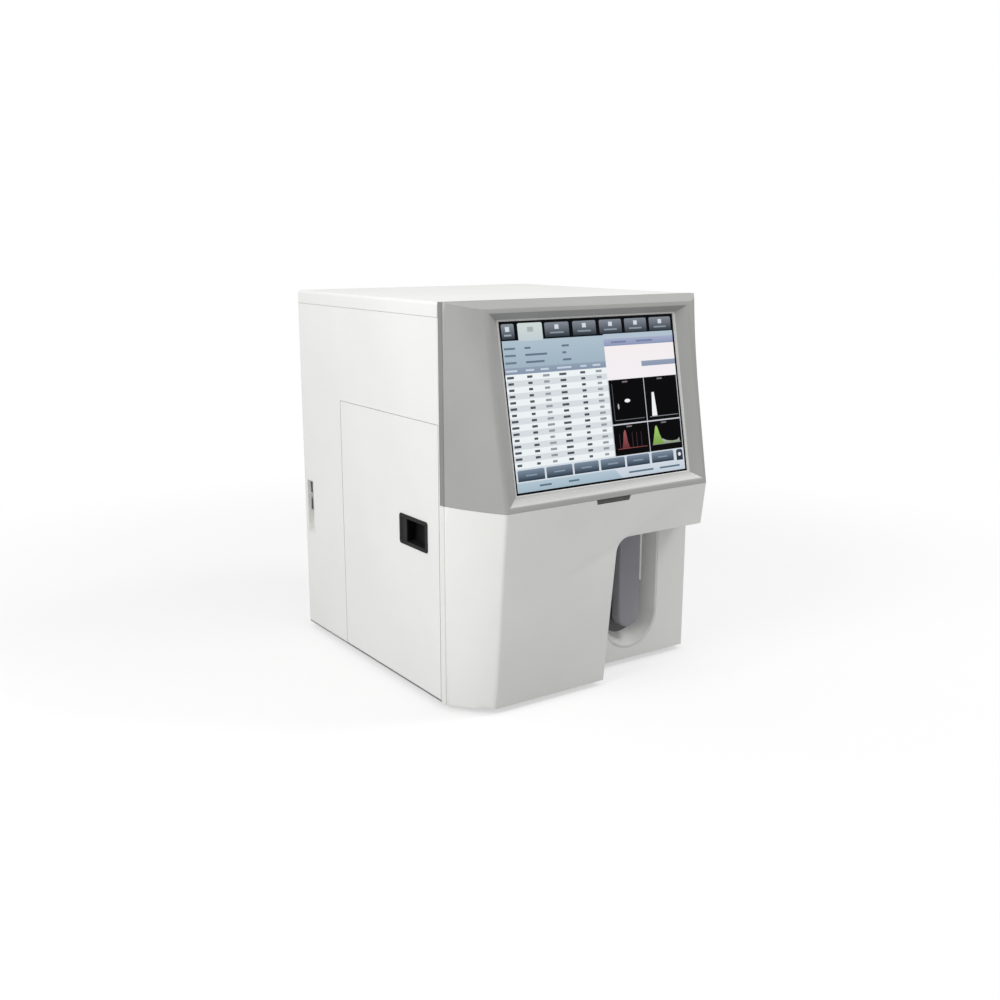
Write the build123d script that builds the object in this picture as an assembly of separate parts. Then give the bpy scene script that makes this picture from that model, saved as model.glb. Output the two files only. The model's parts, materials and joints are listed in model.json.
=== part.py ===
from build123d import *
import math
import os

# Haematology analyser: sheet-metal cabinet, two-piece moulded front, tilted touch display,
# open-tube sampling bay with a motor-driven probe, and a fluidics bay behind the left door.
# Everything is modelled from the cabinet: x from mid-width, y back from the cabinet's front
# plane, z up from the base pan. PLACE then puts the finished solids on their feet.

os.makedirs("parts", exist_ok=True)

# Cabinet
width = 314.0
cabinet_depth = 302.0
height = 391.5
sheet = 1.2
foot_height = 6.0
seam_gap = 0.3
running_gap = 0.05
cap_height = 14.0
half_width = width / 2
trim_proud = 1.2

# Display, 10.4 inch with a 4:3 picture
screen_width = 217.0
screen_height = 162.5
screen_margin = 14.7
screen_top_margin = 10.8
screen_recess = 8.2
funnel_side = 4.0
funnel_low = 5.0
funnel_high = 4.0
rail_round = 5.0
bevel_lip = 0.5
glass_thickness = 1.8
panel_thickness = 8.0

# Front moulding, upper bezel and lower cover; a crease is half the width of the flat face
wall = 2.5
rim_depth = 7.0
rim_step = 1.0
wing_bulge = 2.5
crease_round = 5.0
frame_side = 18.0
crease_seam = screen_width / 2 + frame_side
crease_bottom = crease_seam - 3.9
crease_top = crease_seam + 2.0
nose_bottom = 44.6
nose_seam = 67.9
nose_top = 32.2
brow_drop = 6.3
face_height = screen_margin + screen_height + screen_top_margin
lean = math.asin((nose_seam - nose_top) / face_height)
brow_z = height - brow_drop
seam_z = brow_z - face_height * math.cos(lean)

# Sampling bay, measured from the right side and from the seam
bay_width = 145.0
bay_left = half_width - bay_width
bay_drop = 44.4
bay_top = seam_z - bay_drop
bay_corner = 15.0
bay_panel = 10.0
well_inset = 80.0
well_centre = half_width - well_inset
well_radius = 35.0
well_bottom = 15.0
well_top = bay_top - 6.2
well_depth = 20.0
well_taper = 10.0
well_rim = 3.5
well_rear = well_depth - bay_panel + wall
key_width = 28.0
key_bottom = 35.0
key_front = -8.0
key_depth = 12.0
key_wall = 2.2
key_travel = 3.0
key_reach = bay_panel + key_front + key_depth + key_travel
key_top = well_top - well_taper * key_reach / well_depth - 1.0
key_stem_z = (key_bottom + key_top) / 2 + 1.5
stem_radius = 4.0
stem_hole_gap = 0.3
stem_reach = 3.8
plunger_out = 2.7
switch_front = well_rear + stem_reach + key_travel + 0.3 + plunger_out
post_spread = 11.0
probe_y = -24.0
probe_drop = 64.2
probe_tip = bay_top - probe_drop
probe_length = 123.0
probe_radius = 1.25

# Probe lift behind the bay
lift_travel = 60.0
carriage_z = bay_top + 38.8
carriage_height = 20.0
lift_low = bay_top + wall - 0.2
lift_high = carriage_z + carriage_height + lift_travel + 25.0
lift_plate = 2.0
lift_back = 24.0
rod_offset = 12.0
rod_radius = 3.0
rod_y_place = 14.0
pulley_x = well_centre + 26.5
pulley_radius = 6.0
pulley_low = lift_low + 13.5
pulley_high = lift_high - 18.0
shaft_radius = 2.5
idler_radius = 2.0
belt_thickness = 1.2
belt_front = 9.5
belt_width = 6.0

# Left door and its pull
door_height = 275.0
door_length = 201.7
door_front = 2.3
door_bottom = 1.8
door_fold = 12.0
hinge_inset = 10.0
hinge_depth = 6.0
pin_radius = 2.0
lintel_gap = 0.6
jamb_gap = 1.1
lintel_z = door_bottom + door_height + lintel_gap
hinge_x = -half_width + hinge_depth
hinge_y = door_front + door_length - hinge_inset
pull_front = 25.0
pull_width = 50.6
pull_height = 27.8
pull_bottom = 149.0
pull_depth = 14.0

# Interface pocket on the left side
pocket_inset = 5.0
pocket_width = 18.0
pocket_front = cabinet_depth - pocket_inset - pocket_width
pocket_bottom = 112.0
pocket_height = 64.0
pocket_depth = 12.0
socket_pitch = 20.0
socket_z = [pocket_bottom + 34.0 + i * socket_pitch for i in range(2)]

# Sheet-metal details
cap_bottom = height - cap_height
screw_radius = 1.5
screw_inset = 12.0
screw_heights = (10.0, cap_bottom - 9.5)
screw_columns = (screw_inset - half_width, 0.0, half_width - screw_inset)
rear_screws = [(x, z) for x in screw_columns for z in screw_heights]
side_screws = [(y, z) for y in (20.0, cabinet_depth - 22.0) for z in screw_heights]
slot_length = 40.0
slot_width = 4.0

# Fluidics bay behind the door, carried by the partition
bay_room = 97.0
partition_x = bay_room - half_width
partition_top = cap_bottom - 7.5
syringe_y = 50.0
syringe_x = partition_x - 25.0
screw_x = partition_x - 12.0
screw_lead = 10.0
guide_y = 20.0
syringe_travel = 40.0
syringe_low = 44.0
shelf = 3.0
carriage_rest = syringe_low + syringe_travel + 8.0
yoke = 10.0
syringe_mid = carriage_rest + yoke + 38.0
barrel_length = 72.0
bath_x = partition_x - 28.0
bath_pitch = 45.0
bath_y = [120.0 + bath_pitch * i for i in range(2)]
valve_first = 103.0
valve_pitch = 17.0
valve_count = 6
valve_y = [valve_first + valve_pitch * i for i in range(valve_count)]
pump_y = 150.0
pump_z = 60.0
pump_left = partition_x - 44.0

# Electronics and optics right of the partition
bench_left = partition_x + 12.0
bench_width = 88.0
bench_front = 50.0
bench_length = 110.0
bench_z = 60.0
bench_plate = 8.0
optics_x = bench_left + bench_width / 2
beam_z = bench_z + bench_plate + 24.0
supply_size = 100.0
supply_height = 44.0
supply_right = half_width - 12.0
supply_back = cabinet_depth - 17.0

# Rear panel
fan_size = 80.0
fan_depth = 25.0
fan_x = half_width - 62.0
fan_z = height - 91.5
inlet_x = half_width - 42.0
inlet_z = 100.0
inlet_half = 14.0
inlet_half_height = 24.0
rocker_tilt = 12.0
port_radius = 3.2
port_reach = 14.0
port_pitch = 22.0
port_first_x = 20.0 - half_width
port_z = 60.0
port_count = 4

# The box that the whole object fills, from the moulding's nose to the rear ports
nose_reach = nose_seam
total_depth = nose_reach + cabinet_depth + port_reach
PLACE = Pos(0, nose_reach - total_depth / 2, foot_height)


def block(x0, x1, y0, y1, z0, z1):
    """A box between two corners."""
    centre = Pos((x0 + x1) / 2, (y0 + y1) / 2, (z0 + z1) / 2)
    return centre * Box(x1 - x0, y1 - y0, z1 - z0)


def rod_z(x, y, z0, z1, radius):
    """An upright rod."""
    return Pos(x, y, (z0 + z1) / 2) * Cylinder(radius, z1 - z0)


def rod_y(x, y0, y1, z, radius):
    """A rod that runs front to back."""
    return Pos(x, (y0 + y1) / 2, z) * Rot(90, 0, 0) * Cylinder(radius, y1 - y0)


def rod_x(x0, x1, y, z, radius):
    """A rod that runs side to side."""
    return Pos((x0 + x1) / 2, y, z) * Rot(0, 90, 0) * Cylinder(radius, x1 - x0)


def front_prism(outline, back, length):
    """A prism of a front-view outline, drawn as x and z, that runs forward from a back plane."""
    return Pos(0, back, 0) * (Plane.XZ * extrude(outline, amount=length, dir=(0, 0, 1)))


def save(name, *solids):
    """Writes one node, with its solids in place on their feet."""
    placed = [PLACE * solid for solid in solids]
    export_step(placed[0] if len(placed) == 1 else Compound(children=placed), f"parts/{name}.step")


# Front moulding: one plan outline, lofted between heights

def moulding_section(z, nose, crease, inset):
    """Plan outline of the front moulding at one height: straight rim, bowed wings, flat face."""
    side = half_width - inset
    root = half_width - rim_step - inset
    face = -nose + inset
    edge = crease - inset * 0.7
    back = 0.0 if inset == 0 else 5.0
    bow_x = (root + edge) / 2 + wing_bulge * 0.8
    bow_y = (-rim_depth + face) / 2 - wing_bulge * 0.6
    right = [(edge, face), (bow_x, bow_y), (root, -rim_depth), (side, -rim_depth), (side, back)]
    left = [(-x, y) for x, y in right]
    outline = [
        Line(left[0], right[0]),
        ThreePointArc(right[0], right[1], right[2]),
        Line(right[2], right[3]),
        Line(right[3], right[4]),
        Line(right[4], left[4]),
        Line(left[4], left[3]),
        Line(left[3], left[2]),
        ThreePointArc(left[2], left[1], left[0]),
    ]
    if inset > 0:
        outline = [Line(left[0], right[0]), ThreePointArc(right[0], right[1], right[2]),
                   Line(right[2], (root, back)), Line((root, back), (-root, back)),
                   Line((-root, back), left[2]), ThreePointArc(left[2], left[1], left[0])]
    return Pos(0, 0, z) * make_face(Wire(outline))


def round_creases(form):
    """The same form with the two upright edges of its front face rounded."""
    edges = form.faces().sort_by(Axis.Y)[0].edges().sort_by(Axis.X)
    return fillet([edges[0], edges[-1]], crease_round)


def lower_form(inset=0.0):
    """The lower cover's form without its bay; the face leans out as it rises."""
    slope = (nose_seam - nose_bottom) / seam_z
    widen = (crease_seam - crease_bottom) / seam_z
    low = inset
    high = seam_z - (0 if inset else seam_gap)
    sections = [moulding_section(z, nose_bottom + slope * z, crease_bottom + widen * z, inset)
                for z in (low, high)]
    form = loft(sections, ruled=True)
    return form if inset else round_creases(form)


def upper_form(inset=0.0):
    """The bezel's form: the face leans back to the brow, which slopes up to the cabinet."""
    rise = height + 5.0 - seam_z
    slope = math.tan(lean)
    widen = (crease_top - crease_seam) / (brow_z - seam_z)
    low = -1.0 if inset else 0.0
    sections = [moulding_section(seam_z + z, nose_seam - slope * z, crease_seam + widen * z, inset)
                for z in (low, rise)]
    form = loft(sections, ruled=True)
    form = form if inset else round_creases(form)
    brow_run = nose_top - rim_depth
    brow_slope = brow_drop / brow_run
    far = 100.0
    brow = Plane.YZ * Polyline((-rim_depth - far, height - inset - brow_slope * far),
                               (-rim_depth, height - inset), (far, height - inset),
                               (far, height + far), (-rim_depth - far, height + far), close=True)
    return form - extrude(make_face(brow), amount=width, both=True)


FACE = Plane(origin=(0, -nose_seam, seam_z), x_dir=(1, 0, 0),
             z_dir=(0, -math.cos(lean), math.sin(lean)))
stack_depth = screen_recess + glass_thickness + panel_thickness
screen_mid = screen_margin + screen_height / 2
boss_v = (screen_margin + 5.3, screen_margin + screen_height - 5.2)
boss_out = screen_width / 2 + 9.5


def screen_plate(grow, front, back):
    """A plate behind the bezel: the screen's rectangle grown all round, between two depths."""
    plate = Box(screen_width + 2 * grow, screen_height + 2 * grow, back - front)
    return FACE * Pos(0, screen_mid, -(front + back) / 2) * plate


def screen_funnel(skin):
    """The bevelled recess that falls from the bezel's face to the screen."""
    outer_width = 2 * (crease_seam - funnel_side + skin)
    outer_low = funnel_low - skin
    outer_high = face_height - funnel_high + skin
    depth = screen_recess - bevel_lip
    start = FACE * Pos(0, (outer_low + outer_high) / 2, 0) * Rectangle(outer_width, outer_high - outer_low)
    end = FACE * Pos(0, screen_mid, -depth) * Rectangle(screen_width + 2 * skin, screen_height + 2 * skin)
    return loft([start.face(), end.face()], ruled=True)


def front_bezel():
    """Bezel shell with its funnel, four display bosses and a rounded rail under the screen."""
    shell = upper_form() - upper_form(wall)
    shell += screen_funnel(wall) & upper_form()
    opening = screen_plate(0, -1.0, screen_recess + 20.0)
    boss_length = stack_depth - wall
    for side in (-1, 1):
        for v in boss_v:
            boss = Pos(side * boss_out, v, -wall - boss_length / 2) * Cylinder(3.5, boss_length)
            shell += FACE * boss
    shell = shell - screen_funnel(0) - opening
    rail = shell.edges().sort_by_distance(FACE.from_local_coords((0, funnel_low, 0)))[0]
    return fillet(rail, rail_round)


def bay_cut(skin):
    """What the sampling bay takes out of the lower cover, with a rounded upper corner."""
    left = bay_left - skin
    top = bay_top + skin
    right = half_width + 10.0
    radius = bay_corner + skin
    outline = make_face(Wire([
        Line((left, -10.0), (left, top - radius)),
        ThreePointArc((left, top - radius), (left + radius * (1 - math.sqrt(0.5)),
                                             top - radius * (1 - math.sqrt(0.5))), (left + radius, top)),
        Line((left + radius, top), (right, top)),
        Line((right, top), (right, -10.0)),
        Line((right, -10.0), (left, -10.0)),
    ]))
    return front_prism(outline, -bay_panel + skin, nose_seam + 20.0)


def well_outline(grow):
    """U shape of the sampling well, flat on top."""
    radius = well_radius + grow
    low = well_bottom + well_radius
    top = well_top + grow
    return make_face(Wire([
        Line((well_centre - radius, top), (well_centre - radius, low)),
        ThreePointArc((well_centre - radius, low), (well_centre, low - radius), (well_centre + radius, low)),
        Line((well_centre + radius, low), (well_centre + radius, top)),
        Line((well_centre + radius, top), (well_centre - radius, top)),
    ]))


def indicator_notch(grow):
    """Tapered slot for the status light in the lower cover's top edge."""
    top_half = 22.0 + grow
    low_half = 20.5 + grow
    depth = 5.2 + grow
    outline = Polyline((-top_half, seam_z + 1.0), (top_half, seam_z + 1.0), (low_half, seam_z - depth),
                       (-low_half, seam_z - depth), close=True)
    return make_face(Pos(2.0, 0, 0) * outline)


def lower_front_cover():
    shell = (lower_form() - bay_cut(0)) - (lower_form(wall) - bay_cut(wall))
    well_hole = front_prism(well_outline(wall + seam_gap), 10.0, 30.0)
    probe_hole = rod_z(well_centre, probe_y, bay_top - 5.0, bay_top + wall + 1.0, 4.0)
    notch = front_prism(indicator_notch(0.2), -nose_seam + 6.0, 20.0)
    return shell - well_hole - probe_hole - notch


def status_indicator():
    lens = front_prism(indicator_notch(0), -nose_seam + 4.5, 3.0)
    return lens & block(-50, 50, -nose_seam, -nose_seam + 10, 0, seam_z - seam_gap)


def sampling_well():
    """Deep-drawn liner: a tapering U trough with a back wall, a stem hole and two switch posts."""
    front = -bay_panel
    back = front + well_depth
    draft = math.degrees(math.atan(well_taper / well_depth))
    outer = extrude(well_outline(wall), amount=-well_depth - wall, taper=draft)
    hollow = extrude(well_outline(0), amount=-well_depth, taper=draft)
    liner = front_prism(well_outline(wall), front + well_rim, well_rim)
    liner += Pos(0, front, 0) * (Plane.XZ * outer)
    liner -= Pos(0, front, 0) * (Plane.XZ * hollow)
    stem_hole = rod_y(well_centre, back - 1.0, back + wall + 1.0, key_stem_z, stem_radius + stem_hole_gap)
    post_end = switch_front
    for side in (-1, 1):
        liner += rod_y(well_centre + side * post_spread, back + wall - 0.5, post_end, key_stem_z, 2.5)
    return liner - stem_hole


def aspirate_key():
    """Hollow U paddle that the tube pushes; its stem runs through the well's back wall."""
    radius = key_width / 2
    low = key_bottom + radius

    def outline(grow):
        r = radius + grow
        return make_face(Wire([
            Line((well_centre - r, key_top + grow), (well_centre - r, low)),
            ThreePointArc((well_centre - r, low), (well_centre, low - r), (well_centre + r, low)),
            Line((well_centre + r, low), (well_centre + r, key_top + grow)),
            Line((well_centre + r, key_top + grow), (well_centre - r, key_top + grow)),
        ]))

    back = key_front + key_depth
    shell = front_prism(outline(0), back, key_depth)
    front_edges = shell.faces().sort_by(Axis.Y)[0].edges()
    shell = fillet(front_edges, 2.0)
    hollow = front_prism(outline(-key_wall), back, key_depth - key_wall)
    stem_end = well_rear + stem_reach
    stem = rod_y(well_centre, key_front + 1.5, stem_end, key_stem_z, stem_radius)
    return shell - hollow + stem


def key_spring():
    """Return spring round the stem, as its outer sleeve."""
    start = key_front + key_wall + 0.2
    end = -bay_panel + well_depth - 0.2
    sleeve = rod_y(well_centre, start, end, key_stem_z, stem_radius + 2.0)
    return sleeve - rod_y(well_centre, start, end, key_stem_z, stem_radius + 0.6)


def key_switch():
    front = switch_front
    half = post_spread + 4.0
    body = block(well_centre - half, well_centre + half, front, front + 10.0,
                 key_stem_z - 8.0, key_stem_z + 8.0)
    plunger = rod_y(well_centre, front - plunger_out, front + 1.0, key_stem_z, 2.0)
    return body + plunger


# Probe lift: bracket, guide rods, carriage, timing belt and motor

def lift_bracket():
    plate = lift_plate
    left = well_centre - 26.0
    right = pulley_x + 18.0
    ear_right = pulley_x - 8.0
    back = block(left, right, lift_back, lift_back + plate, lift_low, lift_high)
    low_ear = block(left, ear_right, sheet, lift_back + plate, lift_low, lift_low + plate)
    high_ear = block(left, ear_right, sheet, lift_back + plate, lift_high - plate, lift_high)
    bracket = back + low_ear + high_ear
    bracket -= rod_y(pulley_x, lift_back - 1.0, lift_back + plate + 1.0, pulley_high, 5.0)
    bracket += rod_y(pulley_x, belt_front - 1.5, lift_back + 0.5, pulley_low, idler_radius)
    return bracket


def probe_guide_rods():
    low = lift_low + lift_plate
    high = lift_high - lift_plate
    return [rod_z(well_centre + side * rod_offset, rod_y_place, low, high, rod_radius) for side in (-1, 1)]


def probe_carriage():
    """Slide block with an arm that reaches forward to the probe."""
    top = carriage_z + carriage_height
    edge = pulley_x - pulley_radius - belt_thickness / 2 - 0.3
    body = block(well_centre - 18.0, edge, 8.0, 20.0, carriage_z, top)
    arm = block(well_centre - 5.0, well_centre + 5.0, probe_y, 9.0, carriage_z + 6.0, carriage_z + 13.0)
    boss = rod_z(well_centre, probe_y, carriage_z + 2.0, carriage_z + 17.0, 4.0)
    carriage = body + arm + boss
    for side in (-1, 1):
        bore = rod_radius + running_gap
        carriage -= rod_z(well_centre + side * rod_offset, rod_y_place, carriage_z - 1, top + 1, bore)
    return carriage - rod_z(well_centre, probe_y, carriage_z, top, probe_radius + 0.02)


def sample_probe():
    """Steel needle with a slanted tip."""
    needle = rod_z(well_centre, probe_y, probe_tip, probe_tip + probe_length, probe_radius)
    tip_cut = Pos(well_centre, probe_y, probe_tip) * Rot(0, 30, 0) * Pos(0, 0, -5.0) * Box(20, 20, 10)
    return needle - Pos(0, 0, probe_radius * 0.5) * tip_cut


def probe_wiper():
    low = bay_top + wall
    body = block(well_centre - 7.5, well_centre + 7.5, probe_y - 7.0, probe_y + 7.0, low, low + 12.0)
    nipple = rod_x(well_centre + 7.0, well_centre + 14.0, probe_y, low + 8.0, 2.0)
    return body + nipple - rod_z(well_centre, probe_y, low - 1, low + 13.0, probe_radius + 0.15)


def pulley(z, bore_radius):
    """Flanged timing pulley with a few coarse teeth."""
    front = belt_front - 0.2
    back = belt_front + belt_width + 0.2
    tooth_count = 12
    rim = pulley_radius - belt_thickness / 2 - 0.25
    wheel = rod_y(pulley_x, front, back, z, rim)
    for i in range(tooth_count):
        angle = math.radians(360.0 / tooth_count * i)
        gap_x = pulley_x + rim * math.cos(angle)
        gap_z = z + rim * math.sin(angle)
        wheel -= rod_y(gap_x, front - 0.5, back + 0.5, gap_z, 0.6)
    wheel += rod_y(pulley_x, front - 1.0, front, z, pulley_radius + 1.5)
    wheel += rod_y(pulley_x, back, back + 1.0, z, pulley_radius + 1.5)
    return wheel - rod_y(pulley_x, front - 2.0, back + 2.0, z, bore_radius)


def lift_belt():
    """Closed belt round both pulleys."""
    def loop(radius):
        centre = (pulley_low + pulley_high) / 2
        shape = SlotCenterToCenter(pulley_high - pulley_low, 2 * radius, rotation=90)
        band = Rot(90, 0, 0) * extrude(shape, amount=belt_width)
        return Pos(pulley_x, belt_front + belt_width, centre) * band
    return loop(pulley_radius + belt_thickness / 2) - loop(pulley_radius - belt_thickness / 2)


def lift_motor():
    size = 35.0
    front = lift_back + lift_plate
    half = size / 2
    body = block(pulley_x - half, pulley_x + half, front, front + 26.0,
                 pulley_high - half, pulley_high + half)
    body = chamfer(body.edges().filter_by(Axis.Y), 3.0)
    boss = rod_y(pulley_x, lift_back - 1.0, front, pulley_high, 4.8)
    shaft = rod_y(pulley_x, belt_front - 1.0, lift_back, pulley_high, shaft_radius)
    return body + boss + shaft


# Display stack behind the bezel

def touch_glass():
    return screen_plate(4.0, screen_recess, screen_recess + glass_thickness)


def display_gasket():
    ring = screen_plate(3.5, screen_recess - bevel_lip, screen_recess)
    return ring - screen_plate(0.5, 0, 20.0)


def display_panel():
    front = screen_recess + glass_thickness
    return screen_plate(4.5, front, front + panel_thickness)


def display_bracket():
    """Pressed tray behind the panel, with four ears on the bezel's bosses."""
    tray = screen_plate(2.0, stack_depth, stack_depth + sheet)
    for v in boss_v:
        ear = FACE * Pos(0, v, -stack_depth - sheet / 2) * Box(2 * (boss_out + 4.5), 14.0, sheet)
        tray += ear
    window = FACE * Pos(0, screen_mid, -stack_depth) * Box(screen_width - 67.0, screen_height - 72.5, 10.0)
    return tray - window


# Sheet-metal cabinet

def base_pan():
    rise = 15.0
    inner = half_width - sheet - seam_gap
    back = cabinet_depth - sheet - seam_gap
    floor = block(-half_width, half_width, 0, cabinet_depth, 0, sheet)
    right = block(inner - sheet, inner, sheet + 0.5, back - sheet, 0, rise)
    left = block(-inner, -inner + sheet, door_front + door_length + 4.0, back - sheet, 0, rise)
    rear = block(-inner, inner, back - sheet, back, 0, rise)
    pan = floor + right + left + rear
    for y, z in side_screws:
        pan -= rod_x(inner - 5, inner + 5, y, z, screw_radius + running_gap)
    for x, z in rear_screws:
        pan -= rod_y(x, cabinet_depth - 10, cabinet_depth, z, screw_radius + running_gap)
    return pan - rod_z(hinge_x, hinge_y, -1, sheet + 1, pin_radius + running_gap)


def side_skin(side):
    """Fixed side sheet with a folded top edge; side is -1 on the left and 1 on the right."""
    outer = side * half_width
    inner = side * (half_width - sheet)
    fold = side * (half_width - 12.0)
    top = cap_bottom - seam_gap
    back = cabinet_depth - sheet - seam_gap
    front = sheet + 0.3
    skin = block(min(outer, inner), max(outer, inner), front, back, sheet + seam_gap, top)
    skin += block(min(outer, fold), max(outer, fold), front, back, top - sheet, top)
    return skin


def left_side_panel():
    """Reversed L round the door, with a folded lintel that carries the upper hinge pin."""
    skin = side_skin(-1)
    jamb = door_front + door_length + jamb_gap
    fold_in = door_fold + 4.0
    skin -= block(-half_width - 1, -half_width + 20, -1, jamb, -1, lintel_z)
    skin += block(-half_width, -half_width + fold_in, sheet + 0.3, jamb, lintel_z, lintel_z + sheet)
    skin -= rod_z(hinge_x, hinge_y, lintel_z - 1, lintel_z + sheet + 1, pin_radius + running_gap)
    skin -= block(-half_width - 1, -half_width + sheet + 1, pocket_front, pocket_front + pocket_width,
                  pocket_bottom, pocket_bottom + pocket_height)
    return skin


def right_side_panel():
    """Plain sheet with a field of upright ventilation slots beside the power supply."""
    skin = side_skin(1)
    slot_count = 9
    slot_pitch = 9.0
    first = supply_back - supply_size + 20.0
    slot = Plane.YZ * Pos(first, supply_height - 2.0) * SlotOverall(slot_length, slot_width, rotation=90)
    cutter = Pos(half_width - 5.0, 0, 0) * extrude(slot, amount=10.0)
    for i in range(slot_count):
        skin -= Pos(0, i * slot_pitch, 0) * cutter
    for y, z in side_screws:
        skin -= rod_x(half_width - 5, half_width + 5, y, z, screw_radius + running_gap)
    return skin


def rear_panel():
    """Rear sheet: fan grille opening, inlet cut-out, reagent port holes and a row of slots."""
    low = sheet + seam_gap
    top = cap_bottom - seam_gap
    panel = block(-half_width, half_width, cabinet_depth - sheet, cabinet_depth, low, top)
    through = (cabinet_depth - 5.0, cabinet_depth + 5.0)
    cut_x = inlet_half + seam_gap
    cut_z = inlet_half_height + seam_gap
    panel -= rod_y(fan_x, *through, fan_z, fan_size / 2 - 2.0)
    panel -= block(inlet_x - cut_x, inlet_x + cut_x, *through, inlet_z - cut_z, inlet_z + cut_z)
    for i in range(port_count):
        panel -= rod_y(port_first_x + i * port_pitch, *through, port_z, 5.0 + running_gap)
    for x, z in rear_screws:
        panel -= rod_y(x, *through, z, screw_radius + running_gap)
    slot = Plane.XZ * Pos(37.0 - half_width, fan_z) * SlotOverall(slot_length + 10.0, slot_width, rotation=90)
    cutter = Pos(0, cabinet_depth + 5.0, 0) * extrude(slot, amount=10.0)
    for i in range(8):
        panel -= Pos(i * 10.0, 0, 0) * cutter
    return panel


def top_cover():
    """Folded cap with rounded upper edges and a returned lip that rests on the side folds."""
    over = 0.6
    low = cap_bottom
    outer = block(-half_width - over, half_width + over, 0, cabinet_depth + over, low, height)
    outer = fillet(outer.edges().filter_by(Axis.Y).group_by(Axis.Z)[-1], 3.0)
    outer = fillet(outer.faces().sort_by(Axis.Z)[-1].edges().sort_by(Axis.Y)[-1], 3.0)
    hollow = block(-half_width - over + sheet, half_width + over - sheet, -1,
                   cabinet_depth + over - sheet, low - 1, height - sheet)
    cap = outer - hollow
    for side in (-1, 1):
        edge = side * (half_width + over - 0.2)
        lip = side * (half_width - 9.0)
        cap += block(min(edge, lip), max(edge, lip), 0, cabinet_depth, low, low + sheet)
    return cap


def front_frame():
    """Pressed frame between the cabinet and the moulding, pierced for display, lift and well."""
    side = half_width - 17.0
    top = cap_bottom - 12.5
    mullion = well_centre - 22.0
    well_half = well_radius + wall + 1.5
    frame = block(-half_width, half_width, 0, sheet, sheet, cap_bottom - seam_gap)
    frame -= block(-side, mullion - 10.0, -1, 5, 20.0, top)
    frame -= block(mullion, pulley_x + 16.0, -1, 5, lift_low + 3.5, lift_high - 3.5)
    frame -= block(mullion, side, -1, 5, lift_high + 5.0, top)
    frame -= block(well_centre - well_half, well_centre + well_half, -1, 5, 9.0, lift_low - 3.0)
    return frame


def partition_wall():
    """Upright sheet that carries the fluidics, with a folded foot on the base pan."""
    front = 8.0
    back = cabinet_depth - 4.0
    wall_sheet = block(partition_x, partition_x + sheet, front, back, sheet, partition_top)
    foot = block(partition_x, partition_x + 15.0, front, back, sheet, 2 * sheet)
    slot = block(partition_x - 1, partition_x + 3, 95.0, 195.0, partition_top - 120.0, partition_top - 108.0)
    return wall_sheet + foot - slot


def rubber_feet():
    feet = []
    for x in (37.0 - half_width, half_width - 37.0):
        for y in (35.0, cabinet_depth - 37.0):
            feet.append(Pos(x, y, -foot_height / 2) * Cone(9.0, 11.0, foot_height))
    return feet


def screw():
    """Low-head screw along Y, head outwards, its face at y = 0."""
    head_height = trim_proud
    shank = rod_y(0, -6.0, 0.0, 0, screw_radius)
    head = rod_y(0, 0.0, head_height, 0, 2.0 * screw_radius)
    recess = block(-2.0, 2.0, head_height - 0.8, head_height + 1, -0.35, 0.35)
    recess += block(-0.35, 0.35, head_height - 0.8, head_height + 1, -2.0, 2.0)
    return shank + head - recess


def panel_screws():
    screws = [Pos(x, cabinet_depth, z) * screw() for x, z in rear_screws]
    screws += [Pos(half_width, y, z) * Rot(0, 0, -90) * screw() for y, z in side_screws]
    return screws


# Left door

def side_door():
    """Folded tray with pin holes in its top and bottom folds and a cut-out for the pull."""
    top = door_bottom + door_height
    back = door_front + door_length
    inner = -half_width + door_fold
    tray = block(-half_width, inner, door_front, back, door_bottom, top)
    tray -= block(-half_width + sheet, inner + 1, door_front + sheet, back - sheet,
                  door_bottom + sheet, top - sheet)
    tray -= rod_z(hinge_x, hinge_y, door_bottom - 1, top + 1, pin_radius + running_gap)
    tray -= block(-half_width - 1, -half_width + 5, pull_front, pull_front + pull_width,
                  pull_bottom, pull_bottom + pull_height)
    return tray


def door_handle():
    """Recessed pull: a moulded cup with a thin rim and a finger lip at its rear edge."""
    gap = 0.2
    y0 = pull_front + gap
    y1 = pull_front + pull_width - gap
    z0 = pull_bottom + gap
    z1 = pull_bottom + pull_height - gap
    rim = block(-half_width - trim_proud, -half_width, y0 - 2.0, y1 + 2.0, z0 - 2.0, z1 + 2.0)
    rim = fillet(rim.edges().filter_by(Axis.X), 3.0)
    body = block(-half_width - 0.5, -half_width + pull_depth, y0, y1, z0, z1)
    cup = rim + body
    cup -= block(-half_width - 2.0, -half_width + pull_depth - 2.0, y0 + 2.0, y1 - 2.0, z0 + 2.0, z1 - 2.0)
    lip = block(-half_width - 0.5, -half_width + 1.5, y1 - 12.0, y1 - 1.0, z0 + 1.0, z1 - 1.0)
    return cup + lip


def door_pins():
    low = rod_z(hinge_x, hinge_y, 0.0, door_bottom + 6.0, pin_radius)
    high = rod_z(hinge_x, hinge_y, lintel_z - 6.0, lintel_z + 4.0, pin_radius)
    high += rod_z(hinge_x, hinge_y, lintel_z + sheet, lintel_z + sheet + 2.0, pin_radius + 1.5)
    return [low, high]


def door_catch():
    """Magnetic catch on the frame's left post; the door's front fold closes on it."""
    edge = -half_width + door_fold + 0.3
    low = pull_bottom + 3.0
    return block(edge, edge + 9.0, sheet, sheet + 12.0, low, low + 22.0)


# Interface pocket

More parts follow.
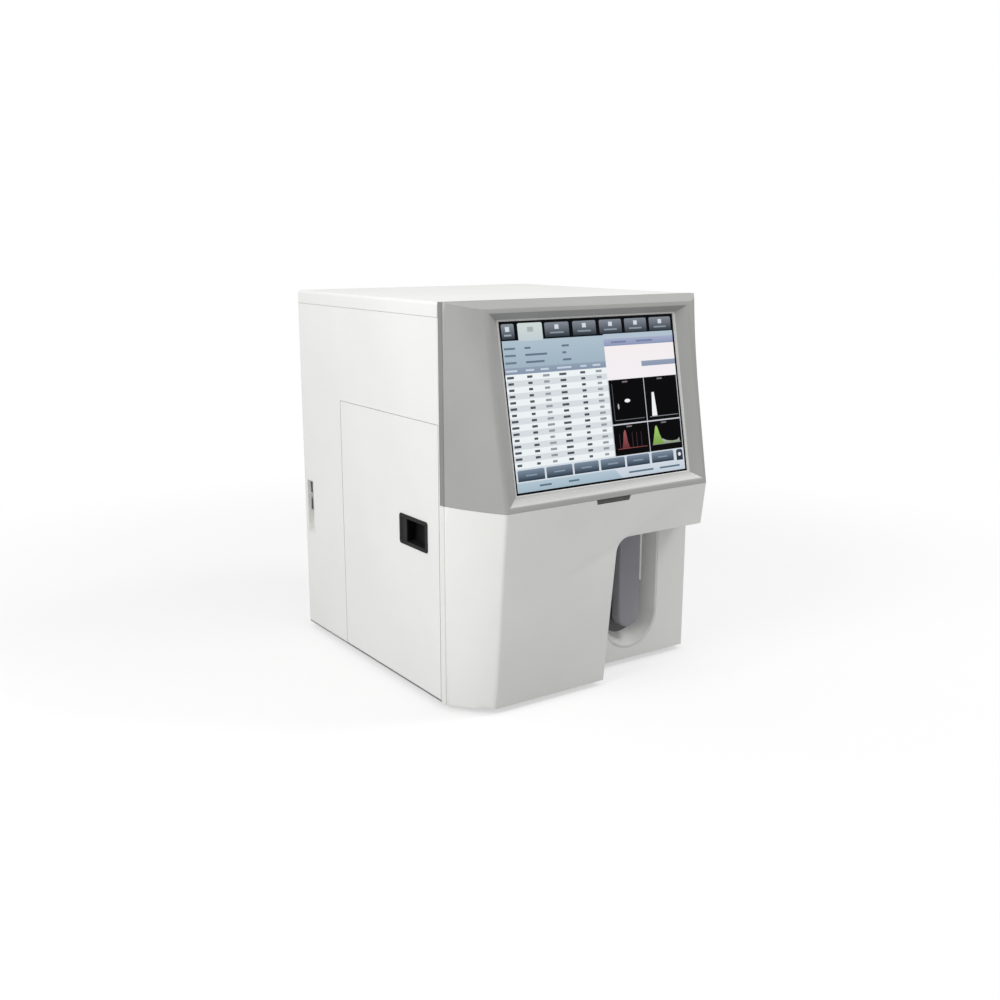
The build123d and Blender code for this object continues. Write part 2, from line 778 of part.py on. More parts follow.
def interface_pocket():
    gap = 0.2
    y0 = pocket_front + gap
    y1 = pocket_front + pocket_width - gap
    z0 = pocket_bottom + gap
    z1 = pocket_bottom + pocket_height - gap
    tray = block(-half_width, -half_width + pocket_depth, y0, y1, z0, z1)
    tray -= block(-half_width - 1, -half_width + pocket_depth - 1.5, y0 + 1.5, y1 - 1.5, z0 + 1.5, z1 - 1.5)
    for z in socket_z:
        tray -= block(-half_width, -half_width + 20, y0 + 1.7, y1 - 1.7, z - 7.6, z + 7.6)
    return tray


def usb_sockets():
    """Two stacked pairs of sockets; each shell holds two upright slots with a contact tongue."""
    shells = []
    front = -half_width + 3.5
    back = -half_width + pocket_depth + 8.0
    mid = pocket_front + pocket_width / 2
    for z in socket_z:
        shell = block(front, back, mid - 6.8, mid + 6.8, z - 7.4, z + 7.4)
        for side in (-1, 1):
            y = mid + side * 3.4
            shell -= block(front - 1, front + 9.0, y - 2.4, y + 2.4, z - 6.2, z + 6.2)
            shell += block(front + 1.0, front + 10.0, y - 0.2, y + 1.4, z - 5.4, z + 5.4)
        shells.append(shell)
    return shells


# Rear fittings

mains_z = inlet_z - 13.0
rocker_z = inlet_z + 13.0
axle_y = cabinet_depth - 2.0
axle_radius = 1.5
rocker_half = 6.6


def power_inlet():
    """Inlet with an earthed socket below and the rocker's window above."""
    back = cabinet_depth
    flange = block(inlet_x - 16.5, inlet_x + 16.5, back, back + 3.0, inlet_z - 29.0, inlet_z + 29.0)
    flange = chamfer(flange.edges().filter_by(Axis.Y), 3.0)
    body = block(inlet_x - inlet_half, inlet_x + inlet_half, back - 26.0, back,
                 inlet_z - inlet_half_height, inlet_z + inlet_half_height)
    cavity = block(inlet_x - 12.2, inlet_x + 12.2, back - 15.0, back + 5, mains_z - 8.4, mains_z + 8.4)
    module = flange + body - chamfer(cavity.edges().filter_by(Axis.Y).group_by(Axis.Z)[-1], 4.0)
    for dx, dz in ((-7.0, 0.5), (7.0, 0.5), (0.0, 4.5)):
        x = inlet_x + dx
        z = mains_z + dz
        module += block(x - 1.0, x + 1.0, back - 16.0, back - 1.0, z - 2.0, z + 2.0)
    room = rocker_half + 0.9
    module -= block(inlet_x - 11.0, inlet_x + 11.0, back - 10.0, back + 5, rocker_z - room, rocker_z + room)
    return module - rod_x(inlet_x - 13.0, inlet_x + 13.0, axle_y, rocker_z, axle_radius + running_gap)


def power_rocker():
    """Rocker with a shallow V face, stored with its lower half pressed."""
    back = -2.5
    profile = Polyline((-rocker_half, back), (rocker_half, back), (rocker_half, 4.6), (0, 3.2),
                       (-rocker_half, 4.6), close=True)
    rocker = extrude(Plane.YZ * Rot(0, 0, -90) * make_face(profile), amount=10.5, both=True)
    axle = rod_x(-12.6, 12.6, 0, 0, axle_radius)
    return Pos(inlet_x, axle_y, rocker_z) * Rot(-rocker_tilt, 0, 0) * (rocker + axle)


hub_pin = 2.0
fan_seat = 4.0
screw_square = 0.447 * fan_size


def fan_frame():
    """Square fan body with a round duct, four screw holes and a motor seat on three arms."""
    half = fan_size / 2
    back = cabinet_depth - sheet
    front = back - fan_depth
    body = block(fan_x - half, fan_x + half, front, back, fan_z - half, fan_z + half)
    body = fillet(body.edges().filter_by(Axis.Y), 4.0)
    body -= rod_y(fan_x, front - 1, back + 1, fan_z, half - 2.0)
    seat = rod_y(fan_x, front, front + fan_seat, fan_z, 14.0)
    for i in range(3):
        arm = block(0, half - 1.0, front, front + 3.0, -2.5, 2.5)
        seat += Pos(fan_x, 0, fan_z) * Rot(0, 90 + 120 * i, 0) * arm
    for dx in (-1, 1):
        for dz in (-1, 1):
            body -= rod_y(fan_x + dx * screw_square, front - 1, back + 1, fan_z + dz * screw_square, 2.15)
    return body + seat + rod_y(fan_x, front + fan_seat - 0.5, front + fan_depth / 2, fan_z, hub_pin)


def fan_rotor():
    """Hub with seven pitched blades."""
    front = cabinet_depth - sheet - fan_depth
    hub_radius = 15.0
    tip = fan_size / 2 - 3.5
    blade_length = tip - hub_radius + 0.5
    hub = rod_y(0, front + fan_seat + 0.5, front + fan_depth - 3.0, 0, hub_radius)
    blade = Pos(tip - blade_length / 2, front + 13.0, 0) * Rot(35, 0, 0) * Box(blade_length, 1.6, 17.0)
    rotor = hub
    for i in range(7):
        rotor += Rot(0, 360.0 / 7 * i, 0) * blade
    rotor -= rod_y(0, front, front + fan_depth / 2 + 1.0, 0, hub_pin + running_gap)
    return Pos(fan_x, 0, fan_z) * rotor


def fan_guard():
    """Stamped finger guard: flat rings on two crossed bars."""
    front = cabinet_depth
    back = cabinet_depth + 1.5
    reach = screw_square * math.sqrt(2)
    bar = block(-reach, reach, front, back, -2.5, 2.5)
    guard = Rot(0, 45, 0) * bar + Rot(0, 135, 0) * bar
    for i in range(4):
        radius = fan_size / 2 - 2.0 - 8.0 * i
        guard += rod_y(0, front, back, 0, radius) - rod_y(0, front - 1, back + 1, 0, radius - 2.0)
    for dx in (-1, 1):
        for dz in (-1, 1):
            guard += rod_y(dx * screw_square, front, front + 3.0, dz * screw_square, 3.0)
    return Pos(fan_x, 0, fan_z) * guard


def reagent_ports():
    """Bulkhead hose nipples: collar outside, two barbs, threaded stub and nut inside."""
    ports = []
    y = cabinet_depth
    neck = port_radius - 0.7
    for i in range(port_count):
        x = port_first_x + i * port_pitch
        collar = Pos(x, y + 3.0, port_z) * Rot(90, 0, 0) * extrude(RegularPolygon(8.0, 6), amount=3.0)
        stem = rod_y(x, y - 14.0, y + 0.5, port_z, 5.0)
        nozzle = rod_y(x, y + 2.5, y + port_reach, port_z, neck)
        barb = Pos(x, y + port_reach - 5.0, port_z) * Rot(90, 0, 0) * Cone(port_radius, neck, 3.0)
        tip = Pos(x, y + port_reach - 1.5, port_z) * Rot(90, 0, 0) * Cone(port_radius, neck, 3.0)
        nut = rod_y(x, y - sheet - 4.0, y - sheet, port_z, 7.5)
        bore = rod_y(x, y - 15.0, y + port_reach + 1, port_z, 1.4)
        ports.append(collar + stem + nozzle + barb + tip + nut - bore)
    return ports


# Fluidics on the partition wall

barrel_low = syringe_mid + shelf
barrel_top = barrel_low + barrel_length
barrels = ((-12.0, 9.0, 6.5, 3.0), (12.0, 6.0, 3.5, 2.0))
piston_gap = 0.1
screw_radius_big = 5.0
guide_radius = 4.0


def syringe_bracket():
    """Back plate with a motor shelf and a barrel shelf."""
    left = partition_x - 44.0
    front = syringe_y - 28.0
    back = syringe_y + 28.0
    plate = block(partition_x - 2.0, partition_x, front, back, syringe_low, barrel_top + 21.0)
    low_shelf = block(left, partition_x - 1, front, back, syringe_low, syringe_low + shelf)
    seat = block(left, partition_x - 1, front, back, syringe_mid, barrel_low)
    for dy, outer, bore, rod in barrels:
        seat -= rod_z(syringe_x, syringe_y + dy, syringe_mid - 1, barrel_low + 1, rod + 1.0)
    low_shelf -= rod_z(screw_x, syringe_y, syringe_low - 1, syringe_low + 4, screw_radius_big + running_gap)
    return plate + low_shelf + seat


def syringe_motor():
    size = 42.0
    left = partition_x - 2.2 - size
    half = size / 2
    body = block(left, left + size, syringe_y - half, syringe_y + half, syringe_low - 34.0, syringe_low)
    return chamfer(body.edges().filter_by(Axis.Z), 4.0)


def syringe_guides():
    low = syringe_low + shelf
    return [rod_z(screw_x, syringe_y + side * guide_y, low, syringe_mid, guide_radius) for side in (-1, 1)]


def lead_screw():
    """Trapezoidal screw, drawn with a few ring grooves for its thread."""
    low = syringe_low + 0.2
    screw_body = rod_z(screw_x, syringe_y, low, syringe_mid - 0.3, screw_radius_big)
    groove = Pos(screw_x, syringe_y, 0) * (Cylinder(screw_radius_big + 1, 1.2) - Cylinder(4.3, 1.2))
    groove_count = int((syringe_mid - syringe_low - 16.0) // screw_lead)
    for i in range(groove_count):
        screw_body -= Pos(0, 0, syringe_low + 12.0 + i * screw_lead) * groove
    return screw_body


def syringe_carriage():
    top = carriage_rest + yoke
    body = block(syringe_x - 15.0, screw_x + 9.0, syringe_y - 27, syringe_y + 27, carriage_rest, top)
    for side in (-1, 1):
        bore = guide_radius + running_gap
        body -= rod_z(screw_x, syringe_y + side * guide_y, carriage_rest - 1, top + 1, bore)
    return body - rod_z(screw_x, syringe_y, carriage_rest - 1, top + 1, screw_radius_big + running_gap)


def syringe_plungers():
    base = carriage_rest + yoke
    piston_top = barrel_top - 2.0
    plungers = []
    for dy, outer, bore, rod in barrels:
        stem = rod_z(syringe_x, syringe_y + dy, base, piston_top - 8.0, rod)
        piston = rod_z(syringe_x, syringe_y + dy, piston_top - 8.5, piston_top, bore - piston_gap)
        plungers.append(stem + piston)
    return plungers


def syringe_barrels():
    tubes = []
    for dy, outer, bore, rod in barrels:
        tube = rod_z(syringe_x, syringe_y + dy, barrel_low, barrel_top, outer)
        tubes.append(tube - rod_z(syringe_x, syringe_y + dy, barrel_low - 1, barrel_top + 1, bore))
    return tubes


def syringe_head():
    left = syringe_x - 13.0
    body = block(left, partition_x - 2.0, syringe_y - 26, syringe_y + 26, barrel_top, barrel_top + 18.0)
    for dy, outer, bore, rod in barrels:
        body += rod_x(left - 8.0, left + 1.0, syringe_y + dy, barrel_top + 9.0, 3.0)
    return body


bath_floor = 190.0
bath_top = bath_floor + 46.0
bath_radius = 14.0
bath_wall = 2.0


def counting_bath(y):
    """Clear counting chamber: open cup with a conical floor, a drain and a mounting pad."""
    inner = bath_radius - bath_wall
    profile = Polyline((0, bath_floor), (4.0, bath_floor), (bath_radius, bath_floor + 12.0),
                       (bath_radius, bath_top), (inner, bath_top), (inner, bath_floor + 13.0),
                       (1.2, bath_floor + 2.5), (0, bath_floor + 2.5), close=True)
    cup = Pos(bath_x, y, 0) * revolve(Plane.XZ * make_face(profile), Axis.Z)
    drain = rod_z(bath_x, y, bath_floor - 12.0, bath_floor + 1.0, 3.0)
    pad = block(bath_x + bath_radius - 1.5, partition_x, y - 8.0, y + 8.0, bath_floor + 18.0, bath_top - 6.0)
    return cup + drain + pad - rod_z(bath_x, y, bath_floor - 13.0, bath_floor + 10.0, 1.2)


valve_z = 131.0
manifold_face = partition_x - 18.0


def valve_manifold():
    top = valve_z + 11.0
    body = block(manifold_face, partition_x, valve_y[0] - 9.0, valve_y[-1] + 8.0, valve_z - 11.0, top)
    for y in valve_y:
        body += rod_z(partition_x - 9.0, y, top - 0.5, top + 8.0, 2.0)
    return chamfer(body.edges().filter_by(Axis.Y).group_by(Axis.X)[0], 2.0)


def solenoid_valves():
    valves = []
    for y in valve_y:
        coil = block(manifold_face - 30.0, manifold_face - 6.0, y - 6.5, y + 6.5,
                     valve_z - 8.0, valve_z + 8.0)
        nose = rod_x(manifold_face - 6.5, manifold_face, y, valve_z, 5.0)
        tail = rod_x(manifold_face - 33.0, manifold_face - 29.5, y, valve_z, 4.0)
        valves.append(coil + nose + tail)
    return valves


pump_right = pump_left + 20.0
race_radius = 22.0
pump_shaft = 3.0


def pump_housing():
    """Peristaltic pump head: an open round race with a back wall, cut open at the top for the hose."""
    front = pump_left - 1.0
    floor = pump_right - 3.0
    race = rod_x(pump_left, pump_right, pump_y, pump_z, race_radius + 5.0)
    race -= rod_x(front, floor, pump_y, pump_z, race_radius)
    throat = block(front, floor, pump_y - 14.0, pump_y + 14.0, pump_z, pump_z + race_radius + 18.0)
    return race - throat - rod_x(front, pump_right + 1, pump_y, pump_z, pump_shaft + 1.5)


def pump_motor():
    body = rod_x(pump_right, partition_x, pump_y, pump_z, 18.0)
    shaft = rod_x(pump_left + 6.0, pump_right + 0.5, pump_y, pump_z, pump_shaft)
    return body + shaft


def pump_rotor():
    """Three-armed rotor with a roller at each arm's end."""
    left = pump_left + 2.0
    right = pump_right - 4.0
    plate = 3.0
    roller = 4.0
    arm_radius = race_radius - 5.0 - roller
    rotor = rod_x(left, right, pump_y, pump_z, 7.0)
    rollers = []
    for i in range(3):
        turn = Pos(0, pump_y, pump_z) * Rot(120 * i, 0, 0)
        for start in (left, right - plate):
            rotor += turn * block(start, start + plate, -3.5, 3.5, 0, arm_radius + 2.0)
        rollers.append(turn * rod_x(left + plate + 0.2, right - plate - 0.2, 0, arm_radius, roller))
    rotor -= rod_x(left + plate, right + 1, pump_y, pump_z, pump_shaft + running_gap)
    return [rotor] + rollers


def waste_chamber():
    """Clear waste chamber with end caps, strapped to the partition."""
    x = partition_x - 20.0
    y = 101.0
    low = 20.0
    cap = 4.0
    radius = 12.5
    tube_length = 76.0
    tube_top = low + tube_length
    body = rod_z(x, y, low + cap, tube_top, radius)
    body += rod_z(x, y, low, low + cap, radius + 1.5)
    body += rod_z(x, y, tube_top, tube_top + 6.0, radius + 1.5)
    body += rod_z(x, y, tube_top + 6.0, tube_top + 14.0, 2.5)
    strap_low = low + 0.4 * tube_length
    strap = block(x, partition_x, y - 5.0, y + 5.0, strap_low, strap_low + 16.0)
    return body + strap


# Electronics and optics right of the partition

def main_board():
    """Main board on stand-offs, with its larger components."""
    x = partition_x + sheet
    low = 110.0
    high = partition_top - 70.0
    front = 60.0
    back = cabinet_depth - 42.0
    face = x + 9.0
    board = block(x + 8.0, x + 9.6, front, back, low, high)
    for y in (front + 6.0, back - 6.0):
        for z in (low + 6.0, high - 6.0):
            board += rod_x(x, x + 8.5, y, z, 3.0)
    middle = (low + high) / 2
    board += block(face, face + 4.0, front + 80.0, front + 115.0, middle - 5.0, middle + 30.0)
    board += block(face, face + 12.0, front + 10.0, front + 18.0, middle - 65.0, middle + 15.0)
    board += block(face, face + 12.0, front + 40.0, front + 100.0, high - 20.0, high - 12.0)
    for i in range(4):
        board += rod_x(face, face + 16.0, back - 60.0 + i * 14.0, low + 25.0, 5.0)
    return board


def power_supply():
    """Enclosed power supply with a slotted lid."""
    left = supply_right - supply_size
    front = supply_back - supply_size
    top = sheet + supply_height
    body = block(left, supply_right, front, supply_back, sheet, top)
    for i in range(6):
        y = front + 15.0 + i * 12.0
        body -= block(left + 15.0, supply_right - 15.0, y, y + 4.0, top - 2.0, top + 5.0)
    return body


def optical_bench():
    """Cast bench plate on four pillars."""
    inset = 10.0
    right = bench_left + bench_width
    back = bench_front + bench_length
    plate = block(bench_left, right, bench_front, back, bench_z, bench_z + bench_plate)
    for x in (bench_left + inset, right - inset):
        for y in (bench_front + inset, back - inset):
            plate += rod_z(x, y, sheet, bench_z + 1.0, 6.0)
    return plate


bench_top = bench_z + bench_plate


def laser_module():
    front = bench_front + 68.0
    body = rod_y(optics_x, front, front + 40.0, beam_z, 10.0)
    saddle = block(optics_x - 12.0, optics_x + 12.0, front + 7.0, front + 32.0, bench_top, beam_z - 8.0)
    return body + saddle


def flow_cell():
    front = bench_front + 42.0
    body = block(optics_x - 10.0, optics_x + 10.0, front, front + 20.0, bench_top, beam_z + 20.0)
    body -= rod_y(optics_x, front - 2.0, front + 22.0, beam_z, 4.0)
    return body + rod_z(optics_x, front + 10.0, beam_z + 19.5, beam_z + 30.0, 2.5)


def detector_housing():
    front = bench_front + 2.0
    body = block(optics_x - 17.0, optics_x + 17.0, front, front + 26.0, bench_top, beam_z + 20.0)
    return body + rod_y(optics_x, front + 25.5, front + 34.0, beam_z, 8.0)


nodes = {
    "base_pan": [base_pan()],
    "rubber_feet": rubber_feet(),
    "left_side_panel": [left_side_panel()],
    "right_side_panel": [right_side_panel()],
    "rear_panel": [rear_panel()],
    "top_cover": [top_cover()],
    "front_frame": [front_frame()],
    "partition_wall": [partition_wall()],
    "panel_screws": panel_screws(),
    "front_bezel": [front_bezel()],
    "lower_front_cover": [lower_front_cover()],
    "status_indicator": [status_indicator()],
    "touch_glass": [touch_glass()],
    "display_gasket": [display_gasket()],
    "display_panel": [display_panel()],
    "display_bracket": [display_bracket()],
    "sampling_well": [sampling_well()],
    "aspirate_key": [aspirate_key()],
    "key_spring": [key_spring()],
    "key_switch": [key_switch()],
    "lift_bracket": [lift_bracket()],
    "probe_guide_rods": probe_guide_rods(),
    "probe_carriage": [probe_carriage()],
    "sample_probe": [sample_probe()],
    "probe_wiper": [probe_wiper()],
    "drive_pulley": [pulley(pulley_high, shaft_radius + 0.02)],
    "idler_pulley": [pulley(pulley_low, idler_radius + running_gap)],
    "lift_belt": [lift_belt()],
    "lift_motor": [lift_motor()],
    "side_door": [side_door()],
    "door_handle": [door_handle()],
    "door_pins": door_pins(),
    "door_catch": [door_catch()],
    "interface_pocket": [interface_pocket()],
    "usb_sockets": usb_sockets(),
    "power_inlet": [power_inlet()],
    "power_rocker": [power_rocker()],
    "fan_frame": [fan_frame()],
    "fan_rotor": [fan_rotor()],
    "fan_guard": [fan_guard()],
    "reagent_ports": reagent_ports(),
    "syringe_bracket": [syringe_bracket()],
    "syringe_motor": [syringe_motor()],
    "syringe_guides": syringe_guides(),
    "lead_screw": [lead_screw()],
    "syringe_carriage": [syringe_carriage()],
    "syringe_plungers": syringe_plungers(),
    "syringe_barrels": syringe_barrels(),
    "syringe_head": [syringe_head()],
    "counting_baths": [counting_bath(y) for y in bath_y],
    "valve_manifold": [valve_manifold()],
    "solenoid_valves": solenoid_valves(),
    "pump_housing": [pump_housing()],
    "pump_motor": [pump_motor()],
    "pump_rotor": pump_rotor(),
    "waste_chamber": [waste_chamber()],
    "main_board": [main_board()],
    "power_supply": [power_supply()],
    "optical_bench": [optical_bench()],
    "optics_modules": [laser_module(), flow_cell(), detector_housing()],
}

for name, solids in nodes.items():
    save(name, *solids)
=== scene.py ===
import json
import math

import bmesh
import bpy
from mathutils import Matrix, Vector

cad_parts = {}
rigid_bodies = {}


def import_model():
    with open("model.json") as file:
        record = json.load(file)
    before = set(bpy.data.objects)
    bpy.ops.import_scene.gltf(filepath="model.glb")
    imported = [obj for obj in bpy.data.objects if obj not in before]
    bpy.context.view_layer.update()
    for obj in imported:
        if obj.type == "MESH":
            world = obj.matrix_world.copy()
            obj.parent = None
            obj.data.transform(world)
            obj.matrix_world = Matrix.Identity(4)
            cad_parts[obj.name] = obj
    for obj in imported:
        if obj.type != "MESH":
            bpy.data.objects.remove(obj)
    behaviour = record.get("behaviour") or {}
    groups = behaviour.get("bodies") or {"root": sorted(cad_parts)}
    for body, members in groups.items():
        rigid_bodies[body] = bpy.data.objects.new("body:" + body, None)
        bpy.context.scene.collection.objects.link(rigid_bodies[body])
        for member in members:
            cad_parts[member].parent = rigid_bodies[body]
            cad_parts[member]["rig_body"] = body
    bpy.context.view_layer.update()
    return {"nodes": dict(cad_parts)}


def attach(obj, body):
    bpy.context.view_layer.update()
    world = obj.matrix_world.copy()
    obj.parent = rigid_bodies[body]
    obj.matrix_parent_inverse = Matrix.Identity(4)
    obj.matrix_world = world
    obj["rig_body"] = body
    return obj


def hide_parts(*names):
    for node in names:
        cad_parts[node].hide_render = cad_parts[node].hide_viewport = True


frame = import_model()
nodes = frame["nodes"]


# Cabinet skins. Cold-rolled sheet, folded, powder coated in a fine-textured white and screwed on:
# satin, with a faint orange peel and a slightly rougher look where the powder lies thick.

def linear(code):
    """An sRGB hex code as a linear colour."""
    channels = [int(code[i:i + 2], 16) / 255 for i in (1, 3, 5)]
    return [c / 12.92 if c <= 0.04045 else ((c + 0.055) / 1.055) ** 2.4 for c in channels] + [1.0]


def add_node(tree, kind, links=None, **settings):
    """One node: settings that name a socket go to the socket, the others to the node."""
    node = tree.nodes.new(kind)
    for name, value in settings.items():
        if hasattr(node, name):
            setattr(node, name, value)
    for name, value in settings.items():
        socket = node.inputs.get(name.replace("_", " "))
        if not hasattr(node, name) and socket is not None:
            socket.default_value = value
    for name, source in (links or {}).items():
        tree.links.new(source, node.inputs[name])
    return node


def new_material(name, **shader_values):
    """A Principled material with its constant values on the shader's own sockets."""
    material = bpy.data.materials.new(name)
    material.use_nodes = True
    shader = material.node_tree.nodes["Principled BSDF"]
    for socket, value in shader_values.items():
        shader.inputs[socket.replace("_", " ")].default_value = value
    return material, material.node_tree, shader


def mottled(tree, place, dark, light, patch):
    """A colour that drifts softly between two shades, in patches of the given size in metres."""
    noise = add_node(tree, "ShaderNodeTexNoise", {"Vector": place}, Scale=1 / patch, Detail=3.0)
    ramp = add_node(tree, "ShaderNodeValToRGB", {"Fac": noise.outputs["Fac"]})
    ramp.color_ramp.elements[0].position = 0.3
    ramp.color_ramp.elements[1].position = 0.7
    ramp.color_ramp.elements[0].color = linear(dark)
    ramp.color_ramp.elements[1].color = linear(light)
    return ramp.outputs["Color"]


def grained(tree, place, shader, grain, depth, rough_low, rough_high, stretch=(1, 1, 1)):
    """Bump and roughness from one noise; grain and depth in metres, stretch draws it out."""
    lengthened = add_node(tree, "ShaderNodeMapping", {"Vector": place})
    lengthened.inputs["Scale"].default_value = [1 / s for s in stretch]
    noise = add_node(tree, "ShaderNodeTexNoise", {"Vector": lengthened.outputs["Vector"]},
                     Scale=1 / grain, Detail=2.0)
    rough = add_node(tree, "ShaderNodeMapRange", {"Value": noise.outputs["Fac"]})
    rough.inputs["To Min"].default_value = rough_low
    rough.inputs["To Max"].default_value = rough_high
    bump = add_node(tree, "ShaderNodeBump", {"Height": noise.outputs["Fac"]}, Strength=0.6)
    bump.inputs["Distance"].default_value = depth
    tree.links.new(rough.outputs["Result"], shader.inputs["Roughness"])
    tree.links.new(bump.outputs["Normal"], shader.inputs["Normal"])


def surface(name, shades, patch, grain, depth, roughness, stretch=(1, 1, 1), **shader_values):
    """A material that drifts between two shades and has one fine grain; lengths in metres."""
    material, tree, shader = new_material(name, **shader_values)
    place = add_node(tree, "ShaderNodeTexCoord").outputs["Object"]
    tree.links.new(mottled(tree, place, *shades, patch), shader.inputs["Base Color"])
    grained(tree, place, shader, grain, depth, *roughness, stretch)
    return material


def finish_as(material, *names):
    """These CAD nodes keep their mesh and get this material."""
    for name in names:
        mesh = nodes[name].data
        mesh.materials.clear()
        mesh.materials.append(material)


# Polyester powder coat on steel: a non-metal film, so the default IOR, satin at 0.4 to 0.5. The
# orange peel is 1 to 2 mm across on the real sheet and is drawn at 1.6 mm.
powder_coat = surface("white_powder_coated_steel", shades=("#F1F1EF", "#F6F6F4"), patch=0.12,
                      grain=0.0016, depth=0.00003, roughness=(0.40, 0.50))
finish_as(powder_coat, "left_side_panel", "right_side_panel", "rear_panel", "side_door", "front_frame")


def softened(node, width, material, angle=32.0):
    """A copy of a CAD node with its sharp edges rounded to a width, in the node's place."""
    source = nodes[node]
    mesh = source.data.copy()
    work = bmesh.new()
    work.from_mesh(mesh)
    same_point = 2e-6
    nearly_flat = math.radians(0.6)
    bmesh.ops.remove_doubles(work, verts=work.verts, dist=same_point)
    bmesh.ops.dissolve_limit(work, angle_limit=nearly_flat, verts=work.verts, edges=work.edges)
    work.to_mesh(mesh)
    work.free()
    mesh.materials.clear()
    mesh.materials.append(material)
    for polygon in mesh.polygons:
        polygon.use_smooth = True
        polygon.material_index = 0
    mesh.set_sharp_from_angle(angle=math.radians(angle))
    piece = bpy.data.objects.new(node + "_finished", mesh)
    bpy.context.scene.collection.objects.link(piece)
    edges = piece.modifiers.new("rounded edges", "BEVEL")
    edges.width = width
    edges.segments = 3
    edges.limit_method = "ANGLE"
    edges.angle_limit = math.radians(angle)
    edges.harden_normals = True
    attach(piece, source["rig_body"])
    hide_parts(node)


softened("top_cover", 0.0004, powder_coat)


# Chassis and small hardware. Zinc-plated sheet, bent and riveted, with the plating's soft grey
# mottle; screws, pins, rods and guides in turned stainless; feet, gasket and belt in black rubber.

# Electrogalvanised steel: metallic, roughness 0.34 to 0.48, with a spangle of about 12 mm.
zinc, tree, shader = new_material("zinc_plated_steel", Metallic=1.0)
place = add_node(tree, "ShaderNodeTexCoord").outputs["Object"]
spangle_size = 0.012
spangle = add_node(tree, "ShaderNodeTexVoronoi", {"Vector": place}, Scale=1 / spangle_size)
tint = add_node(tree, "ShaderNodeMix", {"Factor": spangle.outputs["Distance"]}, data_type="RGBA")
tint.inputs["A"].default_value = linear("#B4B7B9")
tint.inputs["B"].default_value = linear("#C6C9CA")
tree.links.new(tint.outputs["Result"], shader.inputs["Base Color"])
grained(tree, place, shader, 0.004, 0.00001, 0.34, 0.48)
finish_as(zinc, "base_pan", "partition_wall", "display_panel", "display_bracket", "power_supply",
          "pump_motor")

# Stainless steel, turned or drawn: metallic, roughness 0.22 to 0.34, with tool lines 0.5 mm apart.
stainless = surface("turned_stainless_steel", shades=("#C2C3C4", "#D2D3D3"), patch=0.02,
                    grain=0.0005, depth=0.000006, roughness=(0.22, 0.34), stretch=(8, 8, 1),
                    Metallic=1.0)
finish_as(stainless, "panel_screws", "door_pins", "fan_guard", "key_spring", "probe_guide_rods",
          "syringe_guides", "lead_screw", "syringe_plungers")

# Nitrile rubber: a dull black with a fine grain and a trace of bloom.
rubber = surface("black_nitrile_rubber", shades=("#1A1A1A", "#262625"), patch=0.006,
                 grain=0.0008, depth=0.00003, roughness=(0.72, 0.88), Specular_IOR_Level=0.35)
finish_as(rubber, "rubber_feet", "display_gasket", "lift_belt")


# Lower front cover. Injection-moulded ABS in the cabinet's white, with a spark-eroded grain; the
# mould rounds every outer edge, and the sampling bay is cut away at the right.

# ABS: its IOR of about 1.53 is near the default of 1.5, which stays. The grain is 0.3 mm on the real
# moulding and is drawn at 0.9 mm.
white_abs = surface("grained_white_abs", shades=("#ECECE9", "#F1F1EE"), patch=0.09,
                    grain=0.0009, depth=0.00003, roughness=(0.46, 0.58))
softened("lower_front_cover", 0.0012, white_abs)


# Front bezel. Injection-moulded in the same ABS in mid grey, satin, with a bevelled funnel down to
# the screen. The flange that meets the cabinet is 7 mm deep and is painted darker than the face, as
# painted shade for the shadow in its joint with the cabinet.

def split_by_depth(tree, place, front_colour, back_wall_painted_shade, border):
    """One colour in front of a plane across the piece and another behind it; border is its Y."""
    depth = add_node(tree, "ShaderNodeSeparateXYZ", {"Vector": place})
    behind = add_node(tree, "ShaderNodeMath", {0: depth.outputs["Y"]}, operation="GREATER_THAN")
    behind.inputs[1].default_value = border
    two_tone = add_node(tree, "ShaderNodeMix", {"Factor": behind.outputs[0]}, data_type="RGBA")
    tree.links.new(front_colour, two_tone.inputs["A"])
    tree.links.new(back_wall_painted_shade, two_tone.inputs["B"])
    return two_tone.outputs["Result"]


flange_depth = 0.007
flange_shade_front = max(v.co.y for v in nodes["front_bezel"].data.vertices) - flange_depth
bezel_abs, tree, shader = new_material("grained_grey_abs")
place = add_node(tree, "ShaderNodeTexCoord").outputs["Object"]
face_colour = mottled(tree, place, "#A6A6A4", "#ACACAA", 0.09)
# Painted shade: the flange behind flange_shade_front is painted darker, standing in for the joint's
# shadow.
flange_painted_shade = mottled(tree, place, "#8A8A88", "#90908E", 0.09)
bezel_colour = split_by_depth(tree, place, face_colour, flange_painted_shade, flange_shade_front)
tree.links.new(bezel_colour, shader.inputs["Base Color"])
grained(tree, place, shader, 0.0009, 0.00002, 0.26, 0.36)
softened("front_bezel", 0.0012, bezel_abs, angle=20.0)


# Touch screen. A sheet of polished cover glass over a liquid-crystal panel; the lit picture shows
# through it, so it is made as one flat sheet of lit cells just over the glass's front face.

glass_black = surface("polished_cover_glass", shades=("#07080A", "#0B0C0F"), patch=0.05,
                      grain=0.02, depth=0.000001, roughness=(0.06, 0.10),
                      IOR=1.52, Specular_IOR_Level=0.2)
finish_as(glass_black, "touch_glass")

glass_mesh = nodes["touch_glass"].data
glass_front = max((p for p in glass_mesh.polygons if p.normal.y < -0.5), key=lambda p: p.area)
screen_normal = glass_front.normal.copy()
screen_up = Vector((0, screen_normal.z, -screen_normal.y))
glass_corners = [v.co for v in glass_mesh.vertices]
face_reach = max(v.dot(screen_normal) for v in glass_corners)
up_low = min(v.dot(screen_up) for v in glass_corners)
up_high = max(v.dot(screen_up) for v in glass_corners)
side_low = min(v.x for v in glass_corners)
side_high = max(v.x for v in glass_corners)
glass_margin = 0.004
picture_lift = 0.00012
layer_step = 0.00003
picture_width = side_high - side_low - 2 * glass_margin
picture_height = up_high - up_low - 2 * glass_margin

